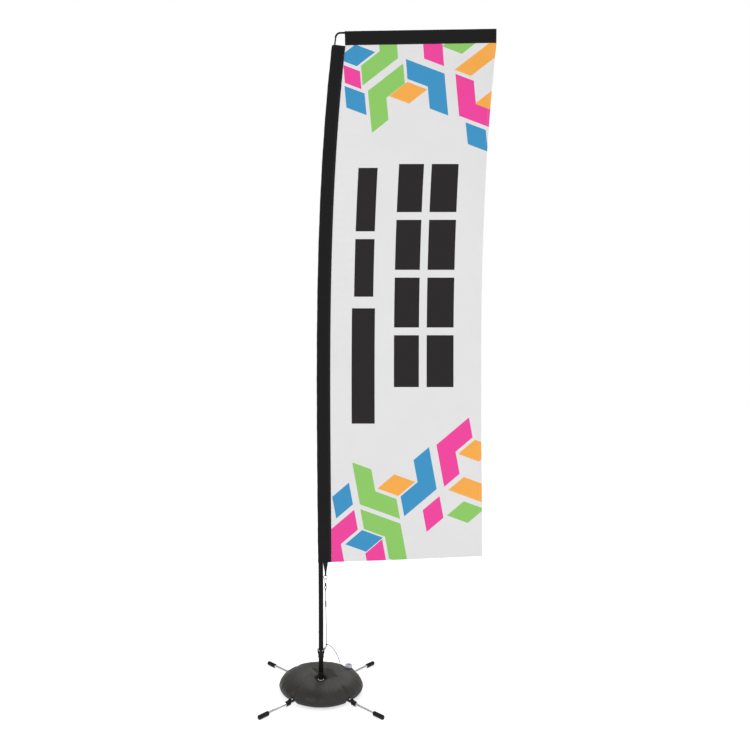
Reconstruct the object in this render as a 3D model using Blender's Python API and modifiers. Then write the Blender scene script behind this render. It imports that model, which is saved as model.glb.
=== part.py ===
"""Block banner flag on a bowed sectional pole, with a rotating cross base and a water bag.

Metres, +Z up. The origin is on the ground under the crossing of the legs, on the axis the pole turns
about. +X runs from the pole towards the free edge of the flag.
"""

import math

import bmesh
import bpy
from mathutils import Matrix, Vector

# ---- clearances -------------------------------------------------------------------------------
GAP = 0.0003                  # between pieces that touch

# ---- cross base -------------------------------------------------------------------------------
LEG_REACH = 0.42              # centre to the tip of a leg
LEG_RADIUS = 0.008
LEG_WALL = 0.0015
LEG_ANGLE = math.radians(45)  # lower bar from +X; the upper bar crosses it squarely
CAP_SWELL = 0.0030            # a cap's radius beyond its leg's
CAP_LENGTH = 0.060
CAP_END_WALL = 0.004
CAP_CHAMFER = 0.0015
BRIDGE_FLAT = 0.030           # half length of the raised middle of the upper bar
BRIDGE_FOOT = 0.072           # where the upper bar is back at leg height
FOOT_RADIUS = 0.030
FOOT_HEIGHT = 0.015
BOLT_RADIUS = 0.004
LOOP_OUTSIDE = 0.006          # middle of each bag loop, outside the bag's rim
LOOP_LENGTH = 0.028
LOOP_WALL = 0.0014

# ---- spindle, bearing and rotating tube ---------------------------------------------------------
WASHER_RADIUS = 0.012
WASHER_HEIGHT = 0.0015
HEX_ACROSS_FLATS = 0.024
HEX_HEIGHT = 0.0098
SPINDLE_RADIUS = 0.0065
SPINDLE_TOP = 0.250
RACE_WALL = 0.0014
BALL_RADIUS = 0.0012
BALL_COUNT = 10
FLANGE_RADIUS = 0.0168
FLANGE_HEIGHT = 0.0112
FLANGE_LIP = 0.0030
ROTOR_TUBE_PAST = 0.034       # length of the rotating tube above its button
ROTOR_TUBE_WALL = 0.0015
BUSH_TOP = 0.240
BUSH_HEIGHT = 0.018
CLIP_HEIGHT = 0.0014
CLIP_ROOM = 0.0008            # clip's edge to the inside of the rotating tube
CLIP_GROOVE = 0.0010          # depth of the clip's groove
BOLT_SOCKET = 0.006           # how far the bolt's socket runs up past the hexagon
TURNED_CHAMFER = 0.0012
BUTTON_HEIGHT = 0.301         # of its axis above the ground
BUTTON_RADIUS = 0.0030
BUTTON_PROUD = 0.0030         # outside the pole
BUTTON_HEAD = 0.0042
BUTTON_HEAD_THICK = 0.0012

# ---- pole -------------------------------------------------------------------------------------
POLE_RADIUS = 0.0125
POLE_WALL = 0.0015
POLE_OVERLAP = 0.100          # how far each section plugs into the one below
POLE_TOPS = (0.99, 1.79, 2.57)
TIP_RADIUS = 0.0048           # pole's end, elbow and top rod
TIP_WALL = 0.0012
BOOT_HEIGHT = 0.038
BOOT_WALL = 0.0010
FERRULE_HEIGHT = 0.030
FERRULE_WALL = 0.0008
BOW_START = 0.310             # the pole is straight below this height
BOW_LENGTH = 3.060
BOW_SQUARE = -0.1261          # x = BOW_SQUARE v^2 + BOW_CUBE v^3, v = (z - BOW_START) / BOW_LENGTH
BOW_CUBE = 0.1996
ELBOW_RADIUS = 0.026
ELBOW_SPIGOT = 0.035

# ---- flag -------------------------------------------------------------------------------------
ROD_HEIGHT = 3.4170           # axis of the top rod at the elbow
ROD_RISE = 0.016              # slope of the top rod, rise over run
SLEEVE_ROOM = 0.0033          # side sleeve: pole's surface to its rear edge
SLEEVE_FRONT = 0.0560         # side sleeve: pole axis to its seam
SLEEVE_WALL = 0.0010
SEAM_HALF = 0.0016            # half thickness of a sleeve at its seam
SLEEVE_BOTTOM = 0.6650
SLEEVE_TOP_DROP = 0.0690      # rod axis to the top of the side sleeve
TOP_SLEEVE_START = 0.1230
TOP_SLEEVE_DROP = 0.0650      # rod axis to the seam
TOP_SLEEVE_ROOM = 0.0034      # rod's surface to the back of its sleeve
PANEL_EDGE = 0.8400           # pole axis to the free edge
PANEL_THICK = 0.0010
PANEL_TILT = 0.031            # the free corner of the bottom edge lies this much higher
ROD_END_CAP = 0.014
ROD_CAP_WALL = 0.0010

# ---- tension line -------------------------------------------------------------------------------
RING_DROP = 0.0788            # side sleeve's bottom to the ring's centre
RING_SET_BACK = 0.0006        # the pole leans back from the ring by this and a gap
RING_RADIUS = 0.0100
RING_WIRE = 0.0017
STRAP_WIDTH = 0.024
STRAP_PINCH = 0.009           # its width where it passes the ring
STRAP_THICK = 0.0014
STRAP_TUCK = 0.018            # how far the webbing runs up into the side sleeve
HOOK_YAW = math.radians(45)
HOOK_WIRE = 0.0016
HOOK_HALF_WIDTH = 0.0071      # centre of the wire
HOOK_DROP = 0.0120            # straight stretch of the hook below its bend
HOOK_SAG = 0.0040             # the round bottom of the hook lies this much lower
GATE_RADIUS = 0.0012
GATE_FOOT_GAP = 0.0009
BARREL_RADIUS = 0.0046
BARREL_HEIGHT = 0.0150
EYE_RADIUS = 0.0062
CORD_RADIUS = 0.0017
KNOT_RADIUS = 0.0048
CORD_SLEEVE_RADIUS = 0.0034
CORD_SLEEVE_SPAN = (0.431, 0.462)
CORD_FOOT = (0.0290, 0.0, 0.2365)      # where the cord is knotted
CORD_LOOP_RADIUS = 0.0014
CORD_LOOP = ((0.0290, 0.0, 0.2299), (0.0275, 0.0060, 0.2264), (0.0240, 0.0098, 0.2205),
             (0.0200, 0.0104, 0.2165), (0.0176, 0.0085, 0.2150), (0.0171, 0.0045, 0.2147),
             (0.0171, 0.0, 0.2147))
CORD_TAIL = ((0.0385, -0.0010, 0.2350), (0.0505, -0.0030, 0.2290), (0.0630, -0.0055, 0.2175),
             (0.0735, -0.0075, 0.2040), (0.0840, -0.0090, 0.1850), (0.0925, -0.0100, 0.1645),
             (0.1000, -0.0105, 0.1440))
COLLAR_BOTTOM = 0.1715
COLLAR_HEIGHT = 0.0440
COLLAR_WALL = 0.0024
EAR_FOOT_RISE = 0.0185        # collar's bottom to the ears' feet
RIVET_RADIUS = 0.0021
RIVET_PROUD = 0.0012
RIVET_TURN = math.radians(32)
RIVET_DROP = 0.0060           # collar's top to the rivets
EAR_SPREAD = 0.0090           # collar's bore to the middle of an ear's tip
EAR_RISE = 0.0045             # ears' tips above the collar
EAR_THICK = 0.0030
EAR_WIDTH = 0.0140

# ---- water bag ----------------------------------------------------------------------------------
BAG_RADIUS = 0.226
BAG_HOLE = 0.034
BAG_CREST = 0.080             # height of the crown
BAG_CREST_AT = 0.112          # radius of the crown
BAG_INNER_LIP = 0.061
BAG_RIM = 0.034
VALVE_INSET = 0.04849507      # bag's rim to the valve's axis
VALVE_TURN = math.atan2(0.098, 0.148)
VALVE_NECK_RADIUS = 0.012
VALVE_NECK_WALL = 0.003
VALVE_NECK_FLOOR = 0.002
VALVE_POCKET = 0.012
VALVE_CAP_RADIUS = 0.019
VALVE_CAP_HEIGHT = 0.013
VALVE_CAP_LIFT = 0.003

# ---- worked out from the sizes above ------------------------------------------------------------
CAP_RADIUS = LEG_RADIUS + CAP_SWELL
LEG_HEIGHT = CAP_RADIUS
BRIDGE_HEIGHT = LEG_HEIGHT + 2 * LEG_RADIUS + 2 * GAP
BRIDGE_TOP = BRIDGE_HEIGHT + LEG_RADIUS
HEX_BOTTOM = BRIDGE_TOP + WASHER_HEIGHT + 2 * GAP
HEX_TOP = HEX_BOTTOM + HEX_HEIGHT
FLANGE_BOTTOM = HEX_TOP + GAP
FLANGE_TOP = FLANGE_BOTTOM + FLANGE_HEIGHT
POLE_BOTTOM = FLANGE_TOP + GAP
ROTOR_RADIUS = POLE_RADIUS - POLE_WALL - GAP
INNER_RACE_IN = SPINDLE_RADIUS + GAP
INNER_RACE_OUT = INNER_RACE_IN + RACE_WALL
BALL_PITCH = INNER_RACE_OUT + GAP + BALL_RADIUS
OUTER_RACE_IN = BALL_PITCH + BALL_RADIUS + GAP
OUTER_RACE_OUT = OUTER_RACE_IN + RACE_WALL
ROTOR_TUBE_TOP = BUTTON_HEIGHT + ROTOR_TUBE_PAST
CLIP_RADIUS = ROTOR_RADIUS - ROTOR_TUBE_WALL - CLIP_ROOM
SLEEVE_BACK = POLE_RADIUS + SLEEVE_ROOM
SLEEVE_TOP = ROD_HEIGHT - SLEEVE_TOP_DROP
TOP_SLEEVE_BULGE = TIP_RADIUS + TOP_SLEEVE_ROOM
RING_X = POLE_RADIUS + RING_RADIUS + RING_WIRE - RING_SET_BACK
RING_HEIGHT = SLEEVE_BOTTOM - RING_DROP
HOOK_BEND = RING_HEIGHT - RING_RADIUS + RING_WIRE + GAP + HOOK_WIRE - HOOK_HALF_WIDTH
HOOK_BASE = HOOK_BEND - HOOK_DROP
BARREL_TOP = HOOK_BASE - HOOK_SAG - HOOK_WIRE - GAP
EYE_HEIGHT = BARREL_TOP - BARREL_HEIGHT - EYE_RADIUS
TOP_KNOT_HEIGHT = EYE_HEIGHT - EYE_RADIUS - HOOK_WIRE - GAP - KNOT_RADIUS
COLLAR_TOP = COLLAR_BOTTOM + COLLAR_HEIGHT
EAR_FOOT_HEIGHT = COLLAR_BOTTOM + EAR_FOOT_RISE
EAR_TIP_HEIGHT = COLLAR_TOP + EAR_RISE
EAR_TIP_X = POLE_RADIUS + GAP + EAR_SPREAD
RIVET_HEIGHT = COLLAR_TOP - RIVET_DROP
LOOP_CENTRE = BAG_RADIUS + LOOP_OUTSIDE
BAG_BELLY = LEG_HEIGHT + LEG_RADIUS + GAP
BAG_ROOF = BRIDGE_TOP + 3 * GAP
LOOP_OUTER = LEG_RADIUS + GAP + LOOP_WALL

PARTS = "block_banner_flag"
CUTTERS = "cutters"


# ---- helpers ------------------------------------------------------------------------------------
def clear_scene():
    for old in list(bpy.data.objects):
        bpy.data.objects.remove(old, do_unlink=True)


def collection(name):
    made = bpy.data.collections.new(name)
    bpy.context.scene.collection.children.link(made)
    return made


def finish_material(name, color, roughness, metallic=0.0):
    made = bpy.data.materials.new(name)
    made.use_nodes = True
    shader = made.node_tree.nodes["Principled BSDF"]
    shader.inputs["Base Color"].default_value = (*color, 1.0)
    shader.inputs["Roughness"].default_value = roughness
    shader.inputs["Metallic"].default_value = metallic
    return made


def add(name, data, material, location=(0, 0, 0), rotation=(0, 0, 0)):
    """Link a mesh or curve as a named part."""
    made = bpy.data.objects.new(name, data)
    bpy.data.collections[PARTS].objects.link(made)
    made.location = location
    made.rotation_euler = rotation
    data.materials.append(material)
    return made


def mesh_from(bm, name, smooth=True):
    """Turn a bmesh into a mesh with outward faces, round sides shaded smooth."""
    bmesh.ops.recalc_face_normals(bm, faces=bm.faces)
    mesh = bpy.data.meshes.new(name)
    bm.to_mesh(mesh)
    bm.free()
    if smooth:
        mesh.shade_smooth()
        mesh.set_sharp_from_angle(angle=math.radians(35))
    return mesh


def rod_mesh(name, radius, low, high, segments=24, lying=False):
    """A solid cylinder between two heights, or between two places along X."""
    bm = bmesh.new()
    bmesh.ops.create_cone(bm, cap_ends=True, segments=segments, radius1=radius, radius2=radius,
                          depth=high - low, matrix=Matrix.Translation((0, 0, (low + high) / 2)))
    if lying:
        bmesh.ops.rotate(bm, verts=bm.verts, matrix=Matrix.Rotation(math.radians(90), 3, "Y"))
    return mesh_from(bm, name)


def turned(name, profile, material, steps=32, location=(0, 0, 0), rotation=(0, 0, 0)):
    """A (radius, height) profile spun about Z: down its outer side, and closed unless it meets the axis."""
    bm = bmesh.new()
    verts = [bm.verts.new((radius, 0, height)) for radius, height in profile]
    closing = verts[:1] if profile[0][0] > 0 else []
    for pair in zip(verts, verts[1:] + closing):
        bm.edges.new(pair)
    mesh = bpy.data.meshes.new(name)
    bm.to_mesh(mesh)
    bm.free()
    made = add(name, mesh, material, location, rotation)
    spin = made.modifiers.new("spin", "SCREW")
    spin.steps = steps
    spin.render_steps = steps
    spin.use_merge_vertices = True
    spin.merge_threshold = 0.00005
    spin.use_smooth_shade = False
    return made


def ring(name, inner, outer, low, high, material, steps=32, **place):
    profile = ((outer, high), (outer, low), (inner, low), (inner, high))
    return turned(name, profile, material, steps, **place)


def wire_curve(name, points, radius, sides=2, scales=None):
    """A round bar along a list of points."""
    curve = bpy.data.curves.new(name, "CURVE")
    curve.dimensions = "3D"
    curve.bevel_depth = radius
    curve.bevel_resolution = sides
    curve.use_fill_caps = True
    line = curve.splines.new("POLY")
    line.points.add(len(points) - 1)
    for index, place in enumerate(points):
        line.points[index].co = (*place, 1.0)
        if scales:
            line.points[index].radius = scales[index]
    return curve


def bar_mesh(name, points, radius, sides=2, scales=None):
    """The same round bar as a closed mesh that a Boolean can take."""
    curve = wire_curve(name, points, radius, sides, scales)
    holder = bpy.data.objects.new(name + "_route", curve)
    bpy.context.scene.collection.objects.link(holder)
    graph = bpy.context.evaluated_depsgraph_get()
    mesh = bpy.data.meshes.new_from_object(holder.evaluated_get(graph))
    bpy.data.objects.remove(holder, do_unlink=True)
    bm = bmesh.new()
    bm.from_mesh(mesh)
    bmesh.ops.remove_doubles(bm, verts=bm.verts, dist=0.00001)
    bmesh.ops.recalc_face_normals(bm, faces=bm.faces)
    bm.to_mesh(mesh)
    bm.free()
    return mesh


def cutter(name, data, location=(0, 0, 0), rotation=(0, 0, 0)):
    made = bpy.data.objects.new(name, data)
    bpy.data.collections[CUTTERS].objects.link(made)
    made.location = location
    made.rotation_euler = rotation
    made.hide_render = True
    made.display_type = "WIRE"
    return made


def boolean(target, tool, operation="DIFFERENCE"):
    step = target.modifiers.new(operation.lower() + "_" + tool.name, "BOOLEAN")
    step.operation = operation
    step.solver = "EXACT"
    step.object = tool


def wall(target, thickness, offset=-1.0):
    """Give an open surface its wall."""
    shell = target.modifiers.new("wall", "SOLIDIFY")
    shell.thickness = thickness
    shell.offset = offset
    shell.use_even_offset = True
    shell.use_rim = True


def bow(height):
    """How far the pole's centre line lies from the spin axis at a height."""
    share = max(0.0, (height - BOW_START) / BOW_LENGTH)
    return BOW_SQUARE * share ** 2 + BOW_CUBE * share ** 3


def heights(low, high, step=0.15):
    count = max(1, round((high - low) / step))
    return [low + (high - low) * index / count for index in range(count + 1)]


def risen(name, outline, levels, scales=None, path=bow):
    """An open tube: an outline carried up the pole's bow, level by level, and scaled about the pole."""
    bm = bmesh.new()
    verts = [bm.verts.new((x + path(levels[0]), y, levels[0])) for x, y in outline]
    edges = [bm.edges.new(pair) for pair in zip(verts, verts[1:] + verts[:1])]
    for index in range(1, len(levels)):
        before, here = levels[index - 1], levels[index]
        grown = bmesh.ops.extrude_edge_only(bm, edges=edges)["geom"]
        verts = [item for item in grown if isinstance(item, bmesh.types.BMVert)]
        edges = [edge for edge in grown if isinstance(edge, bmesh.types.BMEdge)
                 and all(vert in verts for vert in edge.verts)]
        bmesh.ops.translate(bm, verts=verts, vec=(path(here) - path(before), 0, here - before))
        if scales:
            ratio = scales[index] / scales[index - 1]
            centre = Matrix.Translation((-path(here), 0, -here))
            bmesh.ops.scale(bm, verts=verts, vec=(ratio, ratio, 1), space=centre)
    mesh = mesh_from(bm, name)
    face = mesh.polygons[0]
    outward = face.center - Vector((path(face.center.z), 0, face.center.z))
    if face.normal.dot(outward) < 0:
        mesh.flip_normals()
    return mesh


def circle(radius, segments):
    turn = 2 * math.pi / segments
    return [(radius * math.cos(turn * k), radius * math.sin(turn * k)) for k in range(segments)]


def tangent_angle(bulge, seam):
    """Where a straight side from the seam touches the round back of a sleeve, from the seam's direction."""
    return math.atan2(SEAM_HALF, seam) + math.acos(bulge / math.hypot(seam, SEAM_HALF))


def pocket_outline(bulge, seam, steps=12):
    """A sleeve's section: round about its rod, then straight sides that close to its seam."""
    start = tangent_angle(bulge, seam)
    sweep = 2 * (math.pi - start)
    arc = [start + sweep * k / steps for k in range(steps + 1)]
    outline = [(bulge * math.cos(a), bulge * math.sin(a)) for a in arc]
    return outline + [(seam, -SEAM_HALF), (seam, SEAM_HALF)]


def sleeve_half(x):
    """Half thickness of the side sleeve outside, at a distance in front of the pole's axis."""
    lean = math.pi / 2 - tangent_angle(SLEEVE_BACK, SLEEVE_FRONT)
    return SEAM_HALF + (SLEEVE_FRONT - x) * math.tan(lean)


# ---- cross base -----------------------------------------------------------------------------------
def add_leg_caps(side, yaws, material):
    for mark, yaw in zip("ab", yaws):
        mouth = LEG_REACH - CAP_LENGTH
        bore = LEG_RADIUS + GAP
        floor = CAP_LENGTH - CAP_END_WALL
        profile = ((0, CAP_LENGTH), (CAP_RADIUS - CAP_CHAMFER, CAP_LENGTH),
                   (CAP_RADIUS, CAP_LENGTH - CAP_CHAMFER), (CAP_RADIUS, 0), (bore, 0), (bore, floor),
                   (0, floor))
        turned(f"{side}_leg_cap_{mark}", profile, material, 24, rotation=(0, math.pi / 2, yaw),
               location=(mouth * math.cos(yaw), mouth * math.sin(yaw), LEG_HEIGHT))


def add_bag_loops(side, yaws, material):
    """Webbing loops of the bag, one round each leg."""
    for mark, yaw in zip("ab", yaws):
        ring(f"{side}_bag_loop_{mark}", LEG_RADIUS + GAP, LOOP_OUTER, -LOOP_LENGTH / 2, LOOP_LENGTH / 2,
             material, 20, rotation=(0, math.pi / 2, yaw),
             location=(LOOP_CENTRE * math.cos(yaw), LOOP_CENTRE * math.sin(yaw), LEG_HEIGHT))


def add_legs(chrome, plastic, webbing):
    tube_end = LEG_REACH - CAP_END_WALL - GAP
    bolt_hole = cutter("bolt_hole", rod_mesh("bolt_hole", BOLT_RADIUS + GAP, 0, BRIDGE_TOP + 0.01))

    lower = ring("lower_leg_bar", LEG_RADIUS - LEG_WALL, LEG_RADIUS, -tube_end, tube_end, chrome, 20,
                 rotation=(0, math.pi / 2, LEG_ANGLE), location=(0, 0, LEG_HEIGHT))
    boolean(lower, bolt_hole)

    across = LEG_ANGLE + math.pi / 2
    rise = BRIDGE_HEIGHT - LEG_HEIGHT
    half = ((BRIDGE_FLAT, rise), (BRIDGE_FOOT, 0), (tube_end, 0))
    route = [(-x, 0, z) for x, z in reversed(half)] + [(x, 0, z) for x, z in half]
    inner_route = [(x * 1.01, y, z) if abs(x) == tube_end else (x, y, z) for x, y, z in route]
    upper = add("upper_leg_bar", bar_mesh("upper_leg_bar", route, LEG_RADIUS, 4), chrome,
                rotation=(0, 0, across), location=(0, 0, LEG_HEIGHT))
    hollow = cutter("upper_bar_bore", bar_mesh("upper_bar_bore", inner_route, LEG_RADIUS - LEG_WALL, 4),
                    rotation=(0, 0, across), location=(0, 0, LEG_HEIGHT))
    boolean(upper, hollow)
    boolean(upper, bolt_hole)

    lower_yaws = (LEG_ANGLE, LEG_ANGLE + math.pi)
    upper_yaws = (across, across + math.pi)
    add_leg_caps("lower", lower_yaws, plastic)
    add_leg_caps("upper", upper_yaws, plastic)
    add_bag_loops("lower", lower_yaws, webbing)
    add_bag_loops("upper", upper_yaws, webbing)


def add_hub(plastic, steel):
    foot = add("hub_foot", rod_mesh("hub_foot", FOOT_RADIUS, 0, FOOT_HEIGHT, 36), plastic)
    groove = cutter("leg_groove", rod_mesh("leg_groove", LEG_RADIUS + GAP, -0.1, 0.1, 20, True),
                    location=(0, 0, LEG_HEIGHT), rotation=(0, 0, LEG_ANGLE))
    mouth = cutter("groove_mouth", bpy.data.meshes.new("groove_mouth"), rotation=(0, 0, LEG_ANGLE),
                   location=(0, 0, LEG_HEIGHT + LEG_RADIUS))
    bm = bmesh.new()
    bmesh.ops.create_cube(bm, size=1.0)
    bmesh.ops.scale(bm, verts=bm.verts, vec=(0.2, 2 * (LEG_RADIUS + GAP), 2 * LEG_RADIUS))
    bm.to_mesh(mouth.data)
    bm.free()
    boolean(foot, groove)
    boolean(foot, mouth)

    bore_top = HEX_TOP + BOLT_SOCKET
    low = LEG_HEIGHT - math.sqrt(LEG_RADIUS ** 2 - BOLT_RADIUS ** 2)
    turned("clamp_bolt", ((0, bore_top - GAP), (BOLT_RADIUS, bore_top - GAP), (BOLT_RADIUS, low), (0, low)),
           steel, 20)
    ring("hub_washer", BOLT_RADIUS + GAP, WASHER_RADIUS, BRIDGE_TOP + GAP, HEX_BOTTOM - GAP, steel, 28)

    clip_low = BUSH_TOP + GAP
    clip_high = clip_low + CLIP_HEIGHT
    groove_radius = SPINDLE_RADIUS - CLIP_GROOVE
    profile = ((0, SPINDLE_TOP), (SPINDLE_RADIUS - 0.001, SPINDLE_TOP), (SPINDLE_RADIUS, SPINDLE_TOP - 0.001),
               (SPINDLE_RADIUS, clip_high + GAP), (groove_radius, clip_high + GAP),
               (groove_radius, clip_low - GAP), (SPINDLE_RADIUS, clip_low - GAP),
               (SPINDLE_RADIUS, HEX_BOTTOM), (BOLT_RADIUS + GAP, HEX_BOTTOM), (BOLT_RADIUS + GAP, bore_top),
               (0, bore_top))
    spindle = turned("spindle", profile, steel, 24)
    corner = HEX_ACROSS_FLATS / math.sqrt(3)
    inside = SPINDLE_RADIUS - 0.001
    hexagon = turned("spindle_hexagon",
                     ((corner, HEX_TOP), (corner, HEX_BOTTOM), (inside, HEX_BOTTOM), (inside, HEX_TOP)), steel, 6)
    bpy.data.collections[PARTS].objects.unlink(hexagon)
    bpy.data.collections[CUTTERS].objects.link(hexagon)
    hexagon.hide_render = True
    hexagon.display_type = "WIRE"
    boolean(spindle, hexagon, "UNION")
    ring("spindle_clip", groove_radius + GAP, CLIP_RADIUS, clip_low, clip_high, steel, 24)


# ---- bearing and rotating tube ----------------------------------------------------------------------
def add_bearing(steel, nylon):
    low = FLANGE_BOTTOM
    high = FLANGE_TOP - FLANGE_LIP - GAP
    ring("bearing_inner_race", INNER_RACE_IN, INNER_RACE_OUT, low, high, steel, 24)
    ring("bearing_outer_race", OUTER_RACE_IN, OUTER_RACE_OUT, low, high, steel, 24)

    middle = (low + high) / 2
    cage = ring("bearing_balls", BALL_PITCH - 0.0007, BALL_PITCH + 0.0007, middle - 0.0005, middle + 0.0005,
                steel, 30)
    bm = bmesh.new()
    for index in range(BALL_COUNT):
        turn = 2 * math.pi * (index + 0.5) / BALL_COUNT
        place = Matrix.Translation((BALL_PITCH * math.cos(turn), BALL_PITCH * math.sin(turn), middle))
        bmesh.ops.create_icosphere(bm, subdivisions=1, radius=BALL_RADIUS, matrix=place)
    boolean(cage, cutter("balls", mesh_from(bm, "balls")), "UNION")
    ring("spindle_bush", SPINDLE_RADIUS + GAP, ROTOR_RADIUS - ROTOR_TUBE_WALL - GAP, BUSH_TOP - BUSH_HEIGHT,
         BUSH_TOP, nylon, 24)


def add_rotor(chrome, steel, plastic):
    lip = FLANGE_TOP - FLANGE_LIP
    bore = OUTER_RACE_OUT + GAP
    turned("rotor_flange",
           ((FLANGE_RADIUS - TURNED_CHAMFER, FLANGE_TOP), (FLANGE_RADIUS, FLANGE_TOP - TURNED_CHAMFER),
            (FLANGE_RADIUS, FLANGE_BOTTOM + TURNED_CHAMFER), (FLANGE_RADIUS - TURNED_CHAMFER, FLANGE_BOTTOM),
            (bore, FLANGE_BOTTOM), (bore, lip), (ROTOR_RADIUS + GAP, lip), (ROTOR_RADIUS + GAP, FLANGE_TOP)),
           chrome, 36)
    tube = ring("rotor_tube", ROTOR_RADIUS - ROTOR_TUBE_WALL, ROTOR_RADIUS, lip, ROTOR_TUBE_TOP, steel, 24)

    hole = cutter("button_hole", rod_mesh("button_hole", BUTTON_RADIUS + GAP, 0.004, 0.03, 20, True),
                  location=(0, 0, BUTTON_HEIGHT), rotation=(0, 0, math.pi))
    boolean(tube, hole)
    head = math.sqrt((ROTOR_RADIUS - ROTOR_TUBE_WALL) ** 2 - BUTTON_HEAD ** 2) - GAP
    crown = POLE_RADIUS + BUTTON_PROUD
    turned("spring_button",
           ((0, crown), (BUTTON_RADIUS - 0.001, crown), (BUTTON_RADIUS, crown - 0.001), (BUTTON_RADIUS, head),
            (BUTTON_HEAD, head), (BUTTON_HEAD, head - BUTTON_HEAD_THICK), (0, head - BUTTON_HEAD_THICK)),
           chrome, 20, location=(0, 0, BUTTON_HEIGHT), rotation=(0, -math.pi / 2, 0))
    boot = POLE_RADIUS + GAP
    ring("pole_boot", boot, boot + BOOT_WALL, POLE_BOTTOM, POLE_BOTTOM + BOOT_HEIGHT, plastic, 32)
    return hole


# ---- pole ---------------------------------------------------------------------------------------
def add_pole(black, plastic, button_hole):
    """Four tubes, each plugged into the one below, and a ferrule round each socket."""
    radius = POLE_RADIUS
    low = POLE_BOTTOM
    for index, high in enumerate(POLE_TOPS):
        levels = heights(low, high)
        section = add(f"pole_section_{index + 1}",
                      risen(f"pole_section_{index + 1}", circle(radius, 16), levels), black)
        wall(section, POLE_WALL)
        if index == 0:
            boolean(section, button_hole)
        outside = radius + GAP + FERRULE_WALL
        ferrule = add(f"pole_ferrule_{index + 1}",
                      risen(f"pole_ferrule_{index + 1}", circle(outside, 16), [high - FERRULE_HEIGHT, high]),
                      plastic)
        wall(ferrule, FERRULE_WALL)
        radius = radius - POLE_WALL - GAP
        low = high - POLE_OVERLAP

    start, _, _, _ = elbow_ends()
    levels = heights(low, start.z - TIP_RADIUS / 5)
    tapers = [1 + (TIP_RADIUS / radius - 1) * k / (len(levels) - 1) for k in range(len(levels))]
    tip = add("pole_section_4", risen("pole_section_4", circle(radius, 16), levels, tapers), black)
    wall(tip, TIP_WALL)


def elbow_ends():
    """Where the elbow leaves the pole and meets the top rod, with the direction at each."""
    step = 0.001
    rough = ROD_HEIGHT - ELBOW_RADIUS
    lean = (bow(rough) - bow(rough - step)) / step
    up = Vector((lean, 0, 1)).normalized()
    along = Vector((1, 0, ROD_RISE)).normalized()
    height = ROD_HEIGHT - ELBOW_RADIUS * (1 - up.x)
    start = Vector((bow(height), 0, height))
    centre = start + ELBOW_RADIUS * Vector((up.z, 0, -up.x))
    end = centre + ELBOW_RADIUS * Vector((-along.z, 0, along.x))
    return start, up, end, along


def add_corner(black, plastic):
    start, up, end, along = elbow_ends()
    centre = start + ELBOW_RADIUS * Vector((up.z, 0, -up.x))
    first = (start - centre).normalized()
    sweep = first.angle((end - centre).normalized())
    turn = Vector((0, 1, 0))
    arc = [centre + ELBOW_RADIUS * (Matrix.Rotation(sweep * k / 10, 3, turn) @ first) for k in range(11)]
    spigot = TIP_RADIUS - TIP_WALL - GAP
    nudge = 0.0001
    route = [start - up * ELBOW_SPIGOT, start - up * nudge] + arc
    route += [end + along * nudge, end + along * ELBOW_SPIGOT]
    slim = spigot / TIP_RADIUS
    scales = [slim, slim] + [1.0] * len(arc) + [slim, slim]
    add("corner_elbow", wire_curve("corner_elbow", route, TIP_RADIUS, 3, scales), black)

    turn_down = math.pi / 2 - math.atan(ROD_RISE)
    edge = bow(SLEEVE_TOP) + PANEL_EDGE
    length = edge - ROD_END_CAP - end.x
    origin = end + along * (GAP + 0.0002)
    ring("top_rod", TIP_RADIUS - TIP_WALL, TIP_RADIUS, 0, length, black, 20, location=origin,
         rotation=(0, turn_down, 0))
    bore = TIP_RADIUS + GAP
    cap_low = length - ROD_END_CAP * 0.6
    cap_high = cap_low + ROD_END_CAP
    turned("rod_end_cap",
           ((0, cap_high), (bore + 0.0004, cap_high), (bore + ROD_CAP_WALL, cap_high - 0.001),
            (bore + ROD_CAP_WALL, cap_low), (bore, cap_low), (bore, length + GAP), (0, length + GAP)),
           plastic, 20, location=origin, rotation=(0, turn_down, 0))


# ---- flag ---------------------------------------------------------------------------------------
def add_sleeves(black):
    pocket = pocket_outline(SLEEVE_BACK, SLEEVE_FRONT)
    side = add("side_sleeve", risen("side_sleeve", pocket, heights(SLEEVE_BOTTOM, SLEEVE_TOP)), black)
    wall(side, SLEEVE_WALL)

    _, _, end, along = elbow_ends()
    start = end + along * ((TOP_SLEEVE_START - end.x) / along.x)
    length = bow(SLEEVE_TOP) + PANEL_EDGE - start.x
    top = add("top_sleeve",
              risen("top_sleeve", pocket_outline(TOP_SLEEVE_BULGE, TOP_SLEEVE_DROP), [0, length / 2, length],
                    path=lambda height: 0.0),
              black, start, (0, math.pi / 2 - math.atan(ROD_RISE), 0))
    wall(top, SLEEVE_WALL)


def add_panel(cloth):
    """The printed panel: its rear edge follows the side sleeve and its top edge the top sleeve."""
    _, _, end, _ = elbow_ends()
    columns, rows = 4, 24
    bm = bmesh.new()
    bmesh.ops.create_grid(bm, x_segments=columns, y_segments=rows, size=0.5)
    for vert in bm.verts:
        across, up = vert.co.x + 0.5, vert.co.y + 0.5
        bottom = SLEEVE_BOTTOM + PANEL_TILT * across
        reach = SLEEVE_FRONT + GAP + (PANEL_EDGE - SLEEVE_FRONT - GAP) * across
        roof = end.z + ROD_RISE * (reach + bow(SLEEVE_TOP) - end.x) - TOP_SLEEVE_DROP - GAP
        height = bottom + (roof - bottom) * up
        vert.co = Vector((bow(height) + reach, 0, height))
    panel = add("flag_panel", mesh_from(bm, "flag_panel"), cloth)
    wall(panel, PANEL_THICK, 0.0)


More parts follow.
